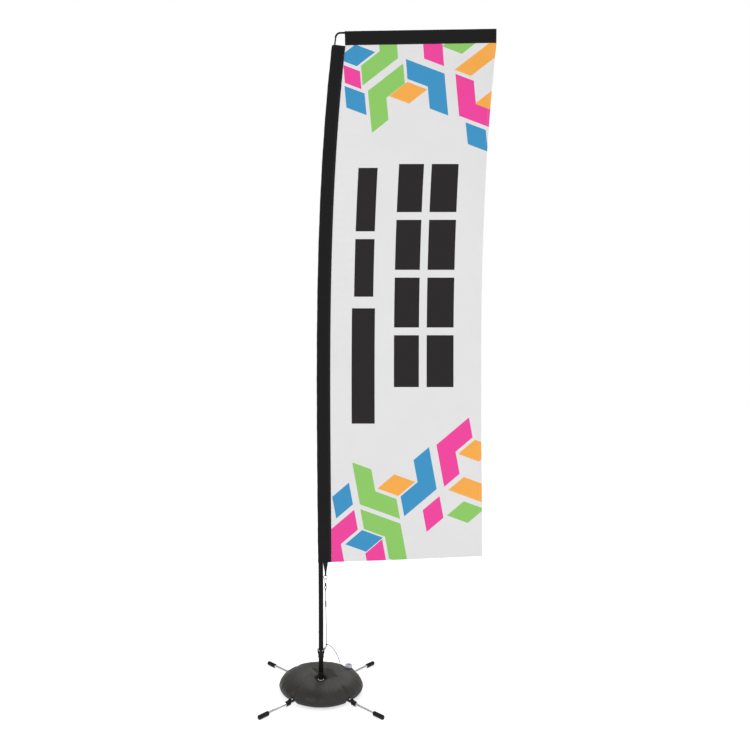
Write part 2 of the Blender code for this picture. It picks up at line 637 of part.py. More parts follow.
# ---- tension line -------------------------------------------------------------------------------
def add_strap(webbing):
    """A webbing loop that is sewn inside the side sleeve and passes through the ring."""
    wire_height = RING_HEIGHT + RING_RADIUS
    drop = RING_RADIUS - math.sqrt(RING_RADIUS ** 2 - (STRAP_PINCH / 2) ** 2)
    turn = RING_WIRE + GAP + drop + STRAP_THICK / 2
    right = RING_X + STRAP_WIDTH / 2
    spread = sleeve_half(right) - SLEEVE_WALL - GAP - 0.0002 - STRAP_THICK / 2
    leg = [(spread, SLEEVE_BOTTOM + STRAP_TUCK, STRAP_WIDTH), (spread, SLEEVE_BOTTOM, STRAP_WIDTH),
           (turn, wire_height + 0.016, STRAP_PINCH), (turn, wire_height, STRAP_PINCH)]
    arc = [(turn * math.cos(math.pi * k / 6), wire_height - turn * math.sin(math.pi * k / 6), STRAP_PINCH)
           for k in range(1, 6)]
    route = leg + arc + [(-y, z, width) for y, z, width in reversed(leg)]
    bm = bmesh.new()
    y, z, width = route[0]
    verts = [bm.verts.new((RING_X + side * width / 2, y, z)) for side in (-1, 1)]
    edges = [bm.edges.new(verts)]
    for before, here in zip(route, route[1:]):
        grown = bmesh.ops.extrude_edge_only(bm, edges=edges)["geom"]
        verts = [item for item in grown if isinstance(item, bmesh.types.BMVert)]
        edges = [edge for edge in grown if isinstance(edge, bmesh.types.BMEdge)
                 and all(vert in verts for vert in edge.verts)]
        bmesh.ops.translate(bm, verts=verts, vec=(0, here[0] - before[0], here[1] - before[1]))
        bmesh.ops.scale(bm, verts=verts, vec=(here[2] / before[2], 1, 1),
                        space=Matrix.Translation((-RING_X, 0, 0)))
    strap = add("tension_strap", mesh_from(bm, "tension_strap"), webbing)
    wall(strap, STRAP_THICK, 0.0)


def torus(name, major, minor, location, rotation, material, parts=(28, 10)):
    bpy.ops.mesh.primitive_torus_add(major_segments=parts[0], minor_segments=parts[1], major_radius=major,
                                     minor_radius=minor)
    made = bpy.context.active_object
    for holder in made.users_collection:
        holder.objects.unlink(made)
    bpy.data.collections[PARTS].objects.link(made)
    made.name = name
    made.data.materials.append(material)
    made.location = location
    made.rotation_euler = rotation
    return made


def add_hook(steel, plastic):
    """Ring, snap hook with its gate, and the barrel with the eye that the cord is tied to."""
    torus("strap_ring", RING_RADIUS, RING_WIRE, (RING_X, 0, RING_HEIGHT), (math.pi / 2, 0, 0), steel)

    half = HOOK_HALF_WIDTH
    place = {"location": (RING_X, 0, HOOK_BASE), "rotation": (0, 0, HOOK_YAW)}
    bottom = [(half * math.cos(a), 0, HOOK_SAG * math.sin(a)) for a in
              [-math.pi * k / 8 for k in range(1, 8)]]
    bend = [(half * math.cos(a), 0, HOOK_DROP + half * math.sin(a)) for a in
            [math.pi - math.pi * k / 12 for k in range(13)]]
    route = [(half, 0, 0)] + bottom + [(-half, 0, 0), (-half, 0, HOOK_DROP / 2)] + bend
    add("snap_hook", wire_curve("snap_hook", route, HOOK_WIRE, 2), steel, **place)

    foot = GATE_FOOT_GAP
    gate = [(0, 0, foot), (0, 0, foot + 0.0006), (0, 0, HOOK_DROP - GAP)]
    cosine, sine = math.cos(HOOK_YAW), math.sin(HOOK_YAW)
    add("hook_gate", wire_curve("hook_gate", gate, GATE_RADIUS, 2, [0.4, 1, 1]), steel,
        (RING_X + half * cosine, half * sine, HOOK_BASE), (0, 0, HOOK_YAW))

    low = BARREL_TOP - BARREL_HEIGHT
    barrel = turned("hook_swivel",
                    ((0, BARREL_TOP), (BARREL_RADIUS - TURNED_CHAMFER, BARREL_TOP),
                     (BARREL_RADIUS, BARREL_TOP - 0.0015), (BARREL_RADIUS, low + 0.0015),
                     (BARREL_RADIUS - TURNED_CHAMFER, low), (0, low)),
                    plastic, 20, location=(RING_X, 0, 0))
    bpy.ops.mesh.primitive_torus_add(major_segments=24, minor_segments=8, major_radius=EYE_RADIUS,
                                     minor_radius=HOOK_WIRE)
    eye = bpy.context.active_object
    for holder in eye.users_collection:
        holder.objects.unlink(eye)
    bpy.data.collections[CUTTERS].objects.link(eye)
    eye.name = "swivel_eye"
    eye.location = (RING_X, 0, EYE_HEIGHT)
    eye.rotation_euler = (math.pi / 2, 0, 0)
    eye.hide_render = True
    eye.display_type = "WIRE"
    boolean(barrel, eye, "UNION")


def knot(name, centre, material):
    bm = bmesh.new()
    bmesh.ops.create_uvsphere(bm, u_segments=14, v_segments=8, radius=KNOT_RADIUS)
    return add(name, mesh_from(bm, name), material, centre)


def smooth_route(points, per_span=3):
    """Points along a Catmull-Rom curve through a route."""
    line = [Vector(p) for p in points]
    line = [2 * line[0] - line[1]] + line + [2 * line[-1] - line[-2]]
    made = []
    for a, b, c, d in zip(line, line[1:], line[2:], line[3:]):
        for step in range(per_span):
            t = step / per_span
            made.append(0.5 * (2 * b + (c - a) * t + (2 * a - 5 * b + 4 * c - d) * t ** 2
                               + (3 * b - a - 3 * c + d) * t ** 3))
    return made + [line[-2]]


def add_cord(cord, tape):
    """The tension cord from the swivel's eye to the collar, its knots, its taped stretch and its tail."""
    top = Vector((RING_X, 0, TOP_KNOT_HEIGHT))
    foot = Vector(CORD_FOOT)
    knot("cord_top_knot", top, cord)
    knot("cord_foot_knot", foot, cord)
    along = (foot - top).normalized()
    clear = KNOT_RADIUS + GAP
    line = [top + along * clear, foot - along * clear]
    add("tension_cord", wire_curve("tension_cord", line, CORD_RADIUS, 2), cord)

    low, high = CORD_SLEEVE_SPAN
    share = (top.z - (low + high) / 2) / (top.z - foot.z)
    centre = top.lerp(foot, share)
    ring("cord_tape", CORD_RADIUS + GAP, CORD_SLEEVE_RADIUS, -(high - low) / 2, (high - low) / 2, tape, 16,
         location=centre, rotation=(0, math.atan2(top.x - foot.x, top.z - foot.z), 0))

    first = Vector(CORD_TAIL[0])
    away = (first - foot).normalized()
    add("cord_tail", wire_curve("cord_tail", smooth_route([foot + away * clear, *CORD_TAIL]),
                                CORD_RADIUS, 2), cord)

    side = [Vector(p) for p in CORD_LOOP]
    far = [Vector((p.x, -p.y, p.z)) for p in reversed(side[1:-1])]
    loop = wire_curve("cord_loop", side + far, CORD_LOOP_RADIUS, 2)
    loop.splines[0].use_cyclic_u = True
    add("cord_loop", loop, cord)


def add_collar(plastic, steel):
    bore = POLE_RADIUS + GAP
    outer = bore + COLLAR_WALL
    collar = ring("tie_off_collar", bore, outer, COLLAR_BOTTOM, COLLAR_TOP, plastic, 32)
    foot_x = bore + EAR_THICK / 2 + 2 * GAP
    rise = EAR_TIP_HEIGHT - EAR_FOOT_HEIGHT
    lean = math.atan2(EAR_TIP_X - foot_x, rise)
    length = math.hypot(EAR_TIP_X - foot_x, rise)
    for side in (1, -1):
        bm = bmesh.new()
        bmesh.ops.create_cube(bm, size=1.0)
        bmesh.ops.scale(bm, verts=bm.verts, vec=(EAR_THICK, EAR_WIDTH, length))
        ear = cutter("ear_right" if side > 0 else "ear_left", mesh_from(bm, "ear", False),
                     (side * (foot_x + EAR_TIP_X) / 2, 0, (EAR_FOOT_HEIGHT + EAR_TIP_HEIGHT) / 2),
                     (0, side * lean, 0))
        boolean(collar, ear, "UNION")
    for mark, turn in (("left", -RIVET_TURN), ("right", RIVET_TURN)):
        head = outer + GAP
        profile = ((0, head + RIVET_PROUD), (RIVET_RADIUS * 0.7, head + RIVET_PROUD),
                   (RIVET_RADIUS, head + RIVET_PROUD / 2), (RIVET_RADIUS, head), (0, head))
        turned(f"collar_rivet_{mark}", profile, steel, 16, location=(0, 0, RIVET_HEIGHT),
               rotation=(0, math.pi / 2, turn - math.pi / 2))


# ---- water bag ----------------------------------------------------------------------------------
def crown_height(radius):
    """Height of the bag's skin outside its crest."""
    reach = (radius - BAG_CREST_AT) / (BAG_RADIUS - BAG_CREST_AT)
    return BAG_RIM + (BAG_CREST - BAG_RIM) * math.sqrt(1 - reach ** 2)


def add_bag(vinyl, white):
    shoulder = (BAG_CREST - BAG_RIM)
    crown = [(BAG_CREST_AT + (BAG_RADIUS - BAG_CREST_AT) * math.sin(a), BAG_RIM + shoulder * math.cos(a))
             for a in [math.pi / 2 * k / 7 for k in range(7)]]
    inner = [(BAG_HOLE, BAG_INNER_LIP - 0.004), (BAG_HOLE + 0.004, BAG_INNER_LIP),
             ((BAG_HOLE + BAG_CREST_AT) / 2, (BAG_INNER_LIP + BAG_CREST) / 2 + 0.003)]
    loop_clear = LEG_HEIGHT + LOOP_OUTER + 2 * GAP
    short_of_loop = LOOP_CENTRE - LOOP_LENGTH
    profile = inner + crown + [(BAG_RADIUS, BAG_RIM), (BAG_RADIUS, BAG_RIM - 0.003),
                               (short_of_loop, loop_clear), (short_of_loop, BAG_BELLY),
                               (BRIDGE_FOOT + 0.016, BAG_BELLY), (BRIDGE_FOOT + 0.010, BAG_ROOF),
                               (BAG_HOLE, BAG_ROOF)]
    bag = turned("water_bag", profile, vinyl, 40)

    from_axis = BAG_RADIUS - VALVE_INSET
    x, y = from_axis * math.cos(VALVE_TURN), from_axis * math.sin(VALVE_TURN)
    skin = crown_height(from_axis)
    floor = skin - VALVE_POCKET
    pocket = cutter("valve_pocket", rod_mesh("valve_pocket", VALVE_NECK_RADIUS + GAP, floor, skin + 0.05, 24),
                    location=(x, y, 0))
    boolean(bag, pocket)

    cap_low = crown_height(from_axis - VALVE_CAP_RADIUS) + 2 * GAP
    cap_top = cap_low + VALVE_CAP_HEIGHT
    neck_top = cap_top - VALVE_CAP_LIFT
    radius = VALVE_NECK_RADIUS
    neck_bore = radius - VALVE_NECK_WALL
    neck_floor = floor + 2 * GAP + VALVE_NECK_FLOOR
    turned("valve_neck",
           ((0, neck_floor), (neck_bore, neck_floor), (neck_bore, neck_top), (radius, neck_top),
            (radius, floor + GAP), (0, floor + GAP)), white, 24, location=(x, y, 0))
    rim = VALVE_CAP_RADIUS
    turned("valve_cap",
           ((0, cap_top - 0.002), (rim * 0.55, cap_top - 0.002), (rim * 0.62, cap_top),
            (rim - 0.002, cap_top), (rim, cap_top - 0.002), (rim, cap_low), (radius + GAP, cap_low),
            (radius + GAP, neck_top + GAP), (0, neck_top + GAP)), white, 28, location=(x, y, 0))


def main():
    clear_scene()
    collection(PARTS)
    collection(CUTTERS)
    black_tube = finish_material("black_tube", (0.012, 0.012, 0.013), 0.32)
    black_plastic = finish_material("black_plastic", (0.015, 0.015, 0.016), 0.5)
    chrome = finish_material("chrome", (0.80, 0.80, 0.82), 0.12, 1.0)
    steel = finish_material("steel", (0.45, 0.46, 0.48), 0.35, 1.0)
    black_cloth = finish_material("black_cloth", (0.022, 0.022, 0.024), 0.85)
    panel_cloth = finish_material("panel_cloth", (0.77, 0.77, 0.77), 0.8)
    webbing = finish_material("webbing", (0.014, 0.014, 0.015), 0.8)
    cord = finish_material("cord", (0.10, 0.10, 0.11), 0.8)
    vinyl = finish_material("bag_vinyl", (0.062, 0.058, 0.052), 0.45)
    white_plastic = finish_material("white_plastic", (0.82, 0.82, 0.88), 0.35)

    add_legs(chrome, black_plastic, webbing)
    add_hub(black_plastic, steel)
    add_bearing(steel, white_plastic)
    button_hole = add_rotor(chrome, steel, black_plastic)
    add_pole(black_tube, black_plastic, button_hole)
    add_corner(black_tube, black_plastic)
    add_sleeves(black_cloth)
    add_panel(panel_cloth)
    add_strap(webbing)
    add_hook(steel, black_plastic)
    add_cord(cord, black_plastic)
    add_collar(black_plastic, chrome)
    add_bag(vinyl, white_plastic)


main()
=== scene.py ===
"""Block banner flag on a bowed pole, with its cross base and water bag: shapes, cloth and finishes.

New pieces are surfaces of two parameters worked out as whole arrays. Places come from the frame's boxes.
"""

import math

import bmesh
import bpy
import numpy as np
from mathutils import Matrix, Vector


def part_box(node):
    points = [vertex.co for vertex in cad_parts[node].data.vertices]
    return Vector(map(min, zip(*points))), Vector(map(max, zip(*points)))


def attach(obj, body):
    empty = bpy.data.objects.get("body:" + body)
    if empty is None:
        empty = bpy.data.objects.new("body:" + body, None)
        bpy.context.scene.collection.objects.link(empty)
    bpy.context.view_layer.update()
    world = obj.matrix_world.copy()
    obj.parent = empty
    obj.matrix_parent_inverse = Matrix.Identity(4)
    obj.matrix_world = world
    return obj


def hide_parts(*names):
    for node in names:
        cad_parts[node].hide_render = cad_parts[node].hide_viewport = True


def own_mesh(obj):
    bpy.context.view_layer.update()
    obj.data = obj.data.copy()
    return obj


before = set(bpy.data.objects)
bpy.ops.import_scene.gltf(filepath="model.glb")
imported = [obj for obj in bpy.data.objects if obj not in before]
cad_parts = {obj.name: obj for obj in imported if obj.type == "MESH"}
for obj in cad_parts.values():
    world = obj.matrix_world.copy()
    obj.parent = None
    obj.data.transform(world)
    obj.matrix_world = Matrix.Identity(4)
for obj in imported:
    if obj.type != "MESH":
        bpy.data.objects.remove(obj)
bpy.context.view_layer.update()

TAU = 2 * math.pi


UP = np.array([0, 0, 1.0])
GAP = 0.0003                  # between pieces that touch


# ---- places read from the frame -------------------------------------------------------------------
def low(node):
    """The lowest corner of a CAD node's box."""
    return np.array(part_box(node)[0])


def high(node):
    """The highest corner of a CAD node's box."""
    return np.array(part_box(node)[1])


def middle(node):
    """The centre of a CAD node's box."""
    return (low(node) + high(node)) / 2


def half_size(node, axis):
    """Half the size of a CAD node's box along one axis."""
    return (high(node)[axis] - low(node)[axis]) / 2


def mesh_points(mesh):
    """Every vertex of a mesh, in metres."""
    flat = np.empty(len(mesh.vertices) * 3)
    mesh.vertices.foreach_get("co", flat)
    return flat.reshape(-1, 3)


def node_points(node):
    """Every vertex of a CAD node."""
    return mesh_points(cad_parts[node].data)


POLE_NODES = ["pole_section_1", "pole_section_2", "pole_section_3", "pole_section_4"]


def pole_levels():
    """Height, centre and half width of the pole's rings, one row for each level of its sections."""
    rows = []
    for node in POLE_NODES:
        points = node_points(node)
        for level in np.unique(points[:, 2].round(5)):
            ring = points[np.abs(points[:, 2] - level) < 0.00002]
            span = ring[:, 0].max() - ring[:, 0].min()
            if len(ring) >= 30:
                rows.append((level, (ring[:, 0].max() + ring[:, 0].min()) / 2, span / 2))
    return np.array(sorted(rows))


LEVELS = pole_levels()
STRAIGHT_BELOW = 0.31
CURVED = LEVELS[LEVELS[:, 0] > STRAIGHT_BELOW]
BOW = np.linalg.lstsq(np.stack([(CURVED[:, 0] - STRAIGHT_BELOW) ** 2, (CURVED[:, 0] - STRAIGHT_BELOW) ** 3], 1),
                      CURVED[:, 1], rcond=None)[0]


def bow(height):
    """Centre line of the pole: a square and a cube of the height above where it starts to bend."""
    rise = np.maximum(np.asarray(height, float) - STRAIGHT_BELOW, 0)
    return BOW[0] * rise ** 2 + BOW[1] * rise ** 3


# ---- camera, floor and light ----------------------------------------------------------------------
CAMERA_DISTANCE = 3.4
FRAME_WIDTH = 3.900156        # width of the view at the pole
SENSOR = 36.0
CENTRE_X = 0.2808
CENTRE_Z = 1.638
AMBIENT = 0.50                # the room's light, against a background of 1


def add_camera():
    """Level and square on to the pole, shifted sideways so that the whole flag stands in a square view."""
    data = bpy.data.cameras.new("front_camera")
    data.sensor_width = SENSOR
    data.lens = SENSOR * CAMERA_DISTANCE / FRAME_WIDTH
    data.clip_end = 60
    camera = bpy.data.objects.new("front_camera", data)
    bpy.context.scene.collection.objects.link(camera)
    data.shift_x = CENTRE_X / FRAME_WIDTH
    camera.location = (0, -CAMERA_DISTANCE, CENTRE_Z)
    camera.rotation_euler = (math.radians(90), 0, 0)
    bpy.context.scene.camera = camera


def add_light(name, place, target, size, power):
    """A round lamp at a place, turned to its target."""
    data = bpy.data.lights.new(name, "AREA")
    data.shape = "DISK"
    data.size = size
    data.energy = power
    lamp = bpy.data.objects.new(name, data)
    bpy.context.scene.collection.objects.link(lamp)
    lamp.location = place
    lamp.rotation_euler = (Vector(target) - Vector(place)).to_track_quat("-Z", "Y").to_euler()


def add_studio():
    """White floor and room: the view sees a background of 1, the object is lit by the weaker AMBIENT."""
    floor_mesh = bpy.data.meshes.new("studio_floor")
    reach = 30.0
    floor_mesh.from_pydata([(-reach, -reach, 0), (reach, -reach, 0), (reach, reach, 0), (-reach, reach, 0)], [],
                           [(0, 1, 2, 3)])
    floor = bpy.data.objects.new("studio_floor", floor_mesh)
    bpy.context.scene.collection.objects.link(floor)
    pale = new_finish("studio_floor", 0.9, Base_Color=(0.86, 0.86, 0.86, 1), Emission_Color=(1, 1, 1, 1),
                      Emission_Strength=0.62, Specular_IOR_Level=0.1)[0]
    floor_mesh.materials.append(pale)

    world = bpy.data.worlds.new("studio")
    world.use_nodes = True
    t = Tree(world.node_tree)
    background = world.node_tree.nodes["Background"]
    background.inputs["Color"].default_value = (1, 1, 1, 1)
    seen = t.node("ShaderNodeLightPath").outputs["Is Camera Ray"]
    t.feed(background.inputs["Strength"], t.band(seen, 0, 1, AMBIENT, 1.0))
    bpy.context.scene.world = world
    bpy.context.scene.view_settings.view_transform = "Standard"
    add_light("key", (-2.2, -3.6, 3.6), (0.2, 0, 1.4), 2.4, 52)
    add_light("fill", (3.2, -3.0, 2.2), (0.3, 0, 1.2), 2.4, 22)
    add_light("rim", (0.8, 3.2, 3.4), (0.2, 0, 1.4), 2.0, 40)


# ---- arrays to meshes -------------------------------------------------------------------------------
SHARP = math.radians(38)


def add_piece(name, mesh, slot, body, *stands_for, finish=None):
    """Link a finished mesh, give it its slot's finish or its own, and ride it on its body."""
    piece = bpy.data.objects.new(name, mesh)
    bpy.context.scene.collection.objects.link(piece)
    mesh.shade_smooth()
    mesh.set_sharp_from_angle(angle=SHARP)
    if not mesh.materials:
        mesh.materials.append(finish or FINISHES[slot])
    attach(piece, body)
    if stands_for:
        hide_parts(*stands_for)
    return piece


def stepped(mesh, kind, frames=(), **settings):
    """The mesh with one modifier applied, after stepping the scene through the frames.

    A double underline in a setting's name steps into one of the modifier's groups of settings.
    """
    holder = bpy.data.objects.new("held_shape", mesh)
    bpy.context.scene.collection.objects.link(holder)
    step = holder.modifiers.new(kind.lower(), kind)
    for path, value in settings.items():
        owner = step
        *route, last = path.split("__")
        for name in route:
            owner = getattr(owner, name)
        setattr(owner, last, value)
    for count in frames:
        bpy.context.scene.frame_set(count)
    made = bpy.data.meshes.new_from_object(holder.evaluated_get(bpy.context.evaluated_depsgraph_get()))
    bpy.data.objects.remove(holder, do_unlink=True)
    bpy.data.meshes.remove(mesh)
    return made


def cut(mesh, tool, operation="DIFFERENCE"):
    """One closed mesh cut by another, or joined to it."""
    cutter = bpy.data.objects.new("cutter", tool)
    bpy.context.scene.collection.objects.link(cutter)
    made = stepped(mesh, "BOOLEAN", operation=operation, solver="EXACT", object=cutter)
    bpy.data.objects.remove(cutter, do_unlink=True)
    bpy.data.meshes.remove(tool)
    return made


def thickened(mesh, thickness=0.0008):
    """A sheet given its thickness, half to each side."""
    return stepped(mesh, "SOLIDIFY", thickness=thickness, offset=0.0)


def grid_mesh(name, points, uv=None, weld=True):
    """A surface from points[row, column]: one quad between each four neighbours.

    Rows or columns that meet, and poles, are welded. uv[row, column] is the surface's own map, in metres.
    """
    rows, columns = points.shape[:2]
    index = np.arange(rows * columns).reshape(rows, columns)
    quads = np.stack([index[:-1, :-1], index[:-1, 1:], index[1:, 1:], index[1:, :-1]], -1).reshape(-1, 4)
    mesh = bpy.data.meshes.new(name)
    mesh.from_pydata(points.reshape(-1, 3).tolist(), [], quads.tolist())
    if uv is not None:
        layer = mesh.uv_layers.new(name="surface")
        layer.data.foreach_set("uv", uv.reshape(-1, 2)[quads.ravel()].ravel())
    if weld:
        weld_mesh(mesh)
    return mesh


def weld_mesh(mesh, distance=2e-6):
    """Merge doubles, drop collapsed faces and turn the faces outwards."""
    bm = bmesh.new()
    bm.from_mesh(mesh)
    bmesh.ops.remove_doubles(bm, verts=bm.verts, dist=distance)
    bmesh.ops.dissolve_degenerate(bm, edges=bm.edges, dist=distance / 4)
    bmesh.ops.recalc_face_normals(bm, faces=bm.faces)
    bm.to_mesh(mesh)
    bm.free()
    mesh.update()


def joined(name, meshes):
    """Several meshes as one, with their maps kept."""
    bm = bmesh.new()
    for part in meshes:
        bm.from_mesh(part)
        bpy.data.meshes.remove(part)
    mesh = bpy.data.meshes.new(name)
    bm.to_mesh(mesh)
    bm.free()
    return mesh


def softened(profile, radius, steps=3):
    """A profile with each corner rounded: a quadratic curve from one side of the corner to the other."""
    corners = np.array(profile, float)
    made = [corners[0]]
    for before, corner, after in zip(corners, corners[1:], corners[2:]):
        back, ahead = before - corner, after - corner
        cut = min(radius, 0.45 * np.linalg.norm(back), 0.45 * np.linalg.norm(ahead))
        start = corner + back / np.linalg.norm(back) * cut
        end = corner + ahead / np.linalg.norm(ahead) * cut
        t = np.linspace(0, 1, steps + 1)[:, None]
        made.extend((1 - t) ** 2 * start + 2 * t * (1 - t) * corner + t ** 2 * end)
    made.append(corners[-1])
    return np.array(made)


def ring_profile(inner, outer, foot, head, soft):
    """The profile of a plain ring or tube, its corners rounded."""
    return softened([(inner, foot), (outer, foot), (outer, head), (inner, head), (inner, foot)], soft)


def unit(vector):
    """The vector's direction, with length 1."""
    return np.array(vector, float) / np.linalg.norm(vector)


def run_along(path):
    """The length of a path up to each of its points."""
    return np.concatenate([[0], np.cumsum(np.linalg.norm(np.diff(path, axis=0), axis=1))])


def together(*parts):
    """Arrays that fit one grid, as the coordinates of its points."""
    return np.stack(np.broadcast_arrays(*parts), -1)


def axis_frame(direction):
    """Three square directions as rows, the last along the given one."""
    along = unit(direction)
    guide = np.array([0, 1.0, 0]) if abs(along[1]) < 0.9 else np.array([1.0, 0, 0])
    side = np.cross(guide, along)
    side /= np.linalg.norm(side)
    return np.stack([side, np.cross(along, side), along])


def lathe(name, profile, at=(0, 0, 0), direction=(0, 0, 1), segments=64, swell=None):
    """Surface of revolution: radius and height along the profile, turned about a line.

    swell(angle, height) multiplies the radius, for ribs and flutes.
    """
    profile = np.array(profile, float)
    turn = np.linspace(0, TAU, segments + 1)
    radius, height = profile[:, :1], profile[:, 1:]
    factor = 1.0 if swell is None else swell(turn[None, :], height)
    local = together(radius * factor * np.cos(turn), radius * factor * np.sin(turn), height + 0 * turn)
    local[:, -1] = local[:, 0]
    points = local @ axis_frame(direction) + np.array(at, float)
    run = run_along(profile)
    around = turn * max(profile[:, 0].max(), 1e-6)
    return grid_mesh(name, points, together(around, run[:, None]))


def resampled(path, count):
    """A path's points at equal steps along its length."""
    path = np.array(path, float)
    run = run_along(path)
    at = np.linspace(0, run[-1], count)
    return np.stack([np.interp(at, run, path[:, k]) for k in range(3)], 1)


def smooth_path(points, per_span=8, closed=False):
    """A Catmull-Rom curve through the points."""
    line = np.array(points, float)
    if closed:
        line = np.concatenate([line[-1:], line, line[:2]])
    else:
        line = np.concatenate([[2 * line[0] - line[1]], line, [2 * line[-1] - line[-2]]])
    a, b, c, d = line[:-3, None], line[1:-2, None], line[2:-1, None], line[3:, None]
    t = np.linspace(0, 1, per_span, endpoint=False)[None, :, None]
    squares, cubes = 2 * a - 5 * b + 4 * c - d, 3 * b - a - 3 * c + d
    made = (0.5 * (2 * b + (c - a) * t + squares * t ** 2 + cubes * t ** 3)).reshape(-1, 3)
    return np.concatenate([made, made[:1] if closed else line[-2:-1]])


def path_frames(path):
    """Side and up directions carried along a path with the least turning."""
    ahead = np.gradient(path, axis=0)
    ahead /= np.linalg.norm(ahead, axis=1)[:, None]
    side = axis_frame(ahead[0])[0]
    sides = []
    for direction in ahead:
        side = side - direction * side.dot(direction)
        side = side / np.linalg.norm(side)
        sides.append(side)
    sides = np.array(sides)
    return sides, np.cross(ahead, sides)


def tube(name, path, radius, segments=20, cap=True, closed=False):
    """A round section of that radius carried along the path, with domed ends."""
    path = np.array(path, float)
    radius = np.broadcast_to(np.asarray(radius, float), (len(path),))
    sides, ups = path_frames(path)
    if cap and not closed:
        ahead = np.cross(sides, ups)
        dome = np.array([1.0, 0.92, 0.7, 0.38, 0.0])
        push = 0.35 * (1 - dome ** 2) ** 0.5
        first, last = radius[0], radius[-1]
        path = np.concatenate([path[:1] - ahead[:1] * (push[::-1] * first)[:, None], path[1:-1],
                               path[-1:] + ahead[-1:] * (push * last)[:, None]])
        radius = np.concatenate([dome[::-1] * first, radius[1:-1], dome * last])
        sides = np.concatenate([np.repeat(sides[:1], 5, 0), sides[1:-1], np.repeat(sides[-1:], 5, 0)])
        ups = np.concatenate([np.repeat(ups[:1], 5, 0), ups[1:-1], np.repeat(ups[-1:], 5, 0)])
    turn = np.linspace(0, TAU, segments + 1)
    turn[-1] = 0
    ring = np.cos(turn)[None, :, None] * sides[:, None] + np.sin(turn)[None, :, None] * ups[:, None]
    points = path[:, None] + ring * radius[:, None, None]
    run = run_along(path)
    around = np.linspace(0, TAU, segments + 1) * radius.max()
    if closed:
        points[-1] = points[0]
    return grid_mesh(name, points, together(around, run[:, None]))


# ---- node tools ---------------------------------------------------------------------------------
class Tree:
    """Short calls for building one node tree."""

    def __init__(self, tree):
        self.tree = tree

    def node(self, kind, **settings):
        made = self.tree.nodes.new(kind)
        for key, value in settings.items():
            setattr(made, key, value)
        return made

    def feed(self, socket, value):
        if isinstance(value, bpy.types.NodeSocket):
            self.tree.links.new(value, socket)
        else:
            socket.default_value = value

    def math(self, operation, first, second=0.0, third=0.0):
        made = self.node("ShaderNodeMath", operation=operation)
        for socket, value in zip(made.inputs, (first, second, third)):
            self.feed(socket, value)
        return made.outputs[0]

    def times(self, first, second):
        return self.math("MULTIPLY", first, second)

    def plus(self, first, second):
        return self.math("ADD", first, second)

    def minus(self, first, second):
        return self.math("SUBTRACT", first, second)

    def mix(self, factor, first, second):
        made = self.node("ShaderNodeMix", data_type="RGBA")
        self.feed(made.inputs[0], factor)
        self.feed(made.inputs[6], first)
        self.feed(made.inputs[7], second)
        return made.outputs[2]

    def noise(self, vector, scale, detail=3.0, rough=0.55):
        made = self.node("ShaderNodeTexNoise")
        self.feed(made.inputs["Vector"], vector)
        made.inputs["Scale"].default_value = scale
        made.inputs["Detail"].default_value = detail
        made.inputs["Roughness"].default_value = rough
        return made.outputs["Fac"]

    def band(self, value, low, high, to_low=0.0, to_high=1.0):
        made = self.node("ShaderNodeMapRange")
        for socket, number in zip(made.inputs, (value, low, high, to_low, to_high)):
            self.feed(socket, number)
        return made.outputs[0]

    def split(self, vector):
        made = self.node("ShaderNodeSeparateXYZ")
        self.feed(made.inputs[0], vector)
        return made.outputs

    def bump(self, height, strength, distance, under=None):
        made = self.node("ShaderNodeBump")
        made.inputs["Strength"].default_value = strength
        made.inputs["Distance"].default_value = distance
        self.feed(made.inputs["Height"], height)
        if under is not None:
            self.feed(made.inputs["Normal"], under)
        return made.outputs[0]

    def use(self, group, **values):
        made = self.node("ShaderNodeGroup", node_tree=group)
        for key, value in values.items():
            self.feed(made.inputs[key.replace("_", " ")], value)
        return made.outputs


def new_group(name, inputs, outputs):
    """A shader group with named sockets, and its Tree, inputs and output sockets."""
    group = bpy.data.node_groups.new(name, "ShaderNodeTree")
    for label, (kind, default) in inputs.items():
        socket = group.interface.new_socket(label, in_out="INPUT", socket_type="NodeSocket" + kind)
        if default is not None:
            socket.default_value = default
    for label, kind in outputs.items():
        group.interface.new_socket(label, in_out="OUTPUT", socket_type="NodeSocket" + kind)
    tree = Tree(group)
    return group, tree, tree.node("NodeGroupInput").outputs, tree.node("NodeGroupOutput").inputs


def woven_group():
    """Plain weave: rounded threads over and under each other, from a map in metres."""
    group, t, given, out = new_group("woven_cloth", {"Map": ("Vector", None), "Pitch": ("Float", 0.001)},
                                     {"Height": "Float", "Gap": "Float"})
    x, y, _ = t.split(given["Map"])
    turns = t.math("DIVIDE", math.pi, given["Pitch"])
    across = t.math("ABSOLUTE", t.math("SINE", t.times(x, turns)))
    along = t.math("ABSOLUTE", t.math("SINE", t.times(y, turns)))
    half = t.times(turns, 0.5)
    over = t.times(t.math("SINE", t.times(x, half)),
                  t.math("SINE", t.times(y, half)))
    lift = t.band(over, -0.6, 0.6)
    height = t.plus(t.times(across, lift),
                    t.times(along, t.minus(1.0, lift)))
    t.feed(out["Height"], height)
    # Gap is 1 in the dips between threads; the cloth finishes darken there as painted shade
    t.feed(out["Gap"], t.band(height, 0.55, 0.2))
    return group


def stitch_group():
    """A row of stitches along Y at one X of a map in metres: a mask of threads, and the pucker beside them."""
    group, t, given, out = new_group(
        "stitch_row", {"Map": ("Vector", None), "Line": ("Float", 0.0), "Length": ("Float", 0.004)},
        {"Thread": "Float", "Pucker": "Float"})
    x, y, _ = t.split(given["Map"])
    off = t.math("ABSOLUTE", t.minus(x, given["Line"]))
    phase = t.math("FRACT", t.math("DIVIDE", y, given["Length"]))
    dash = t.band(t.math("ABSOLUTE", t.minus(phase, 0.5)), 0.42, 0.36)
    thread = t.times(t.band(off, 0.0006, 0.00035), dash)
    t.feed(out["Thread"], thread)
    t.feed(out["Pucker"], t.band(off, 0.0035, 0.0))
    return group


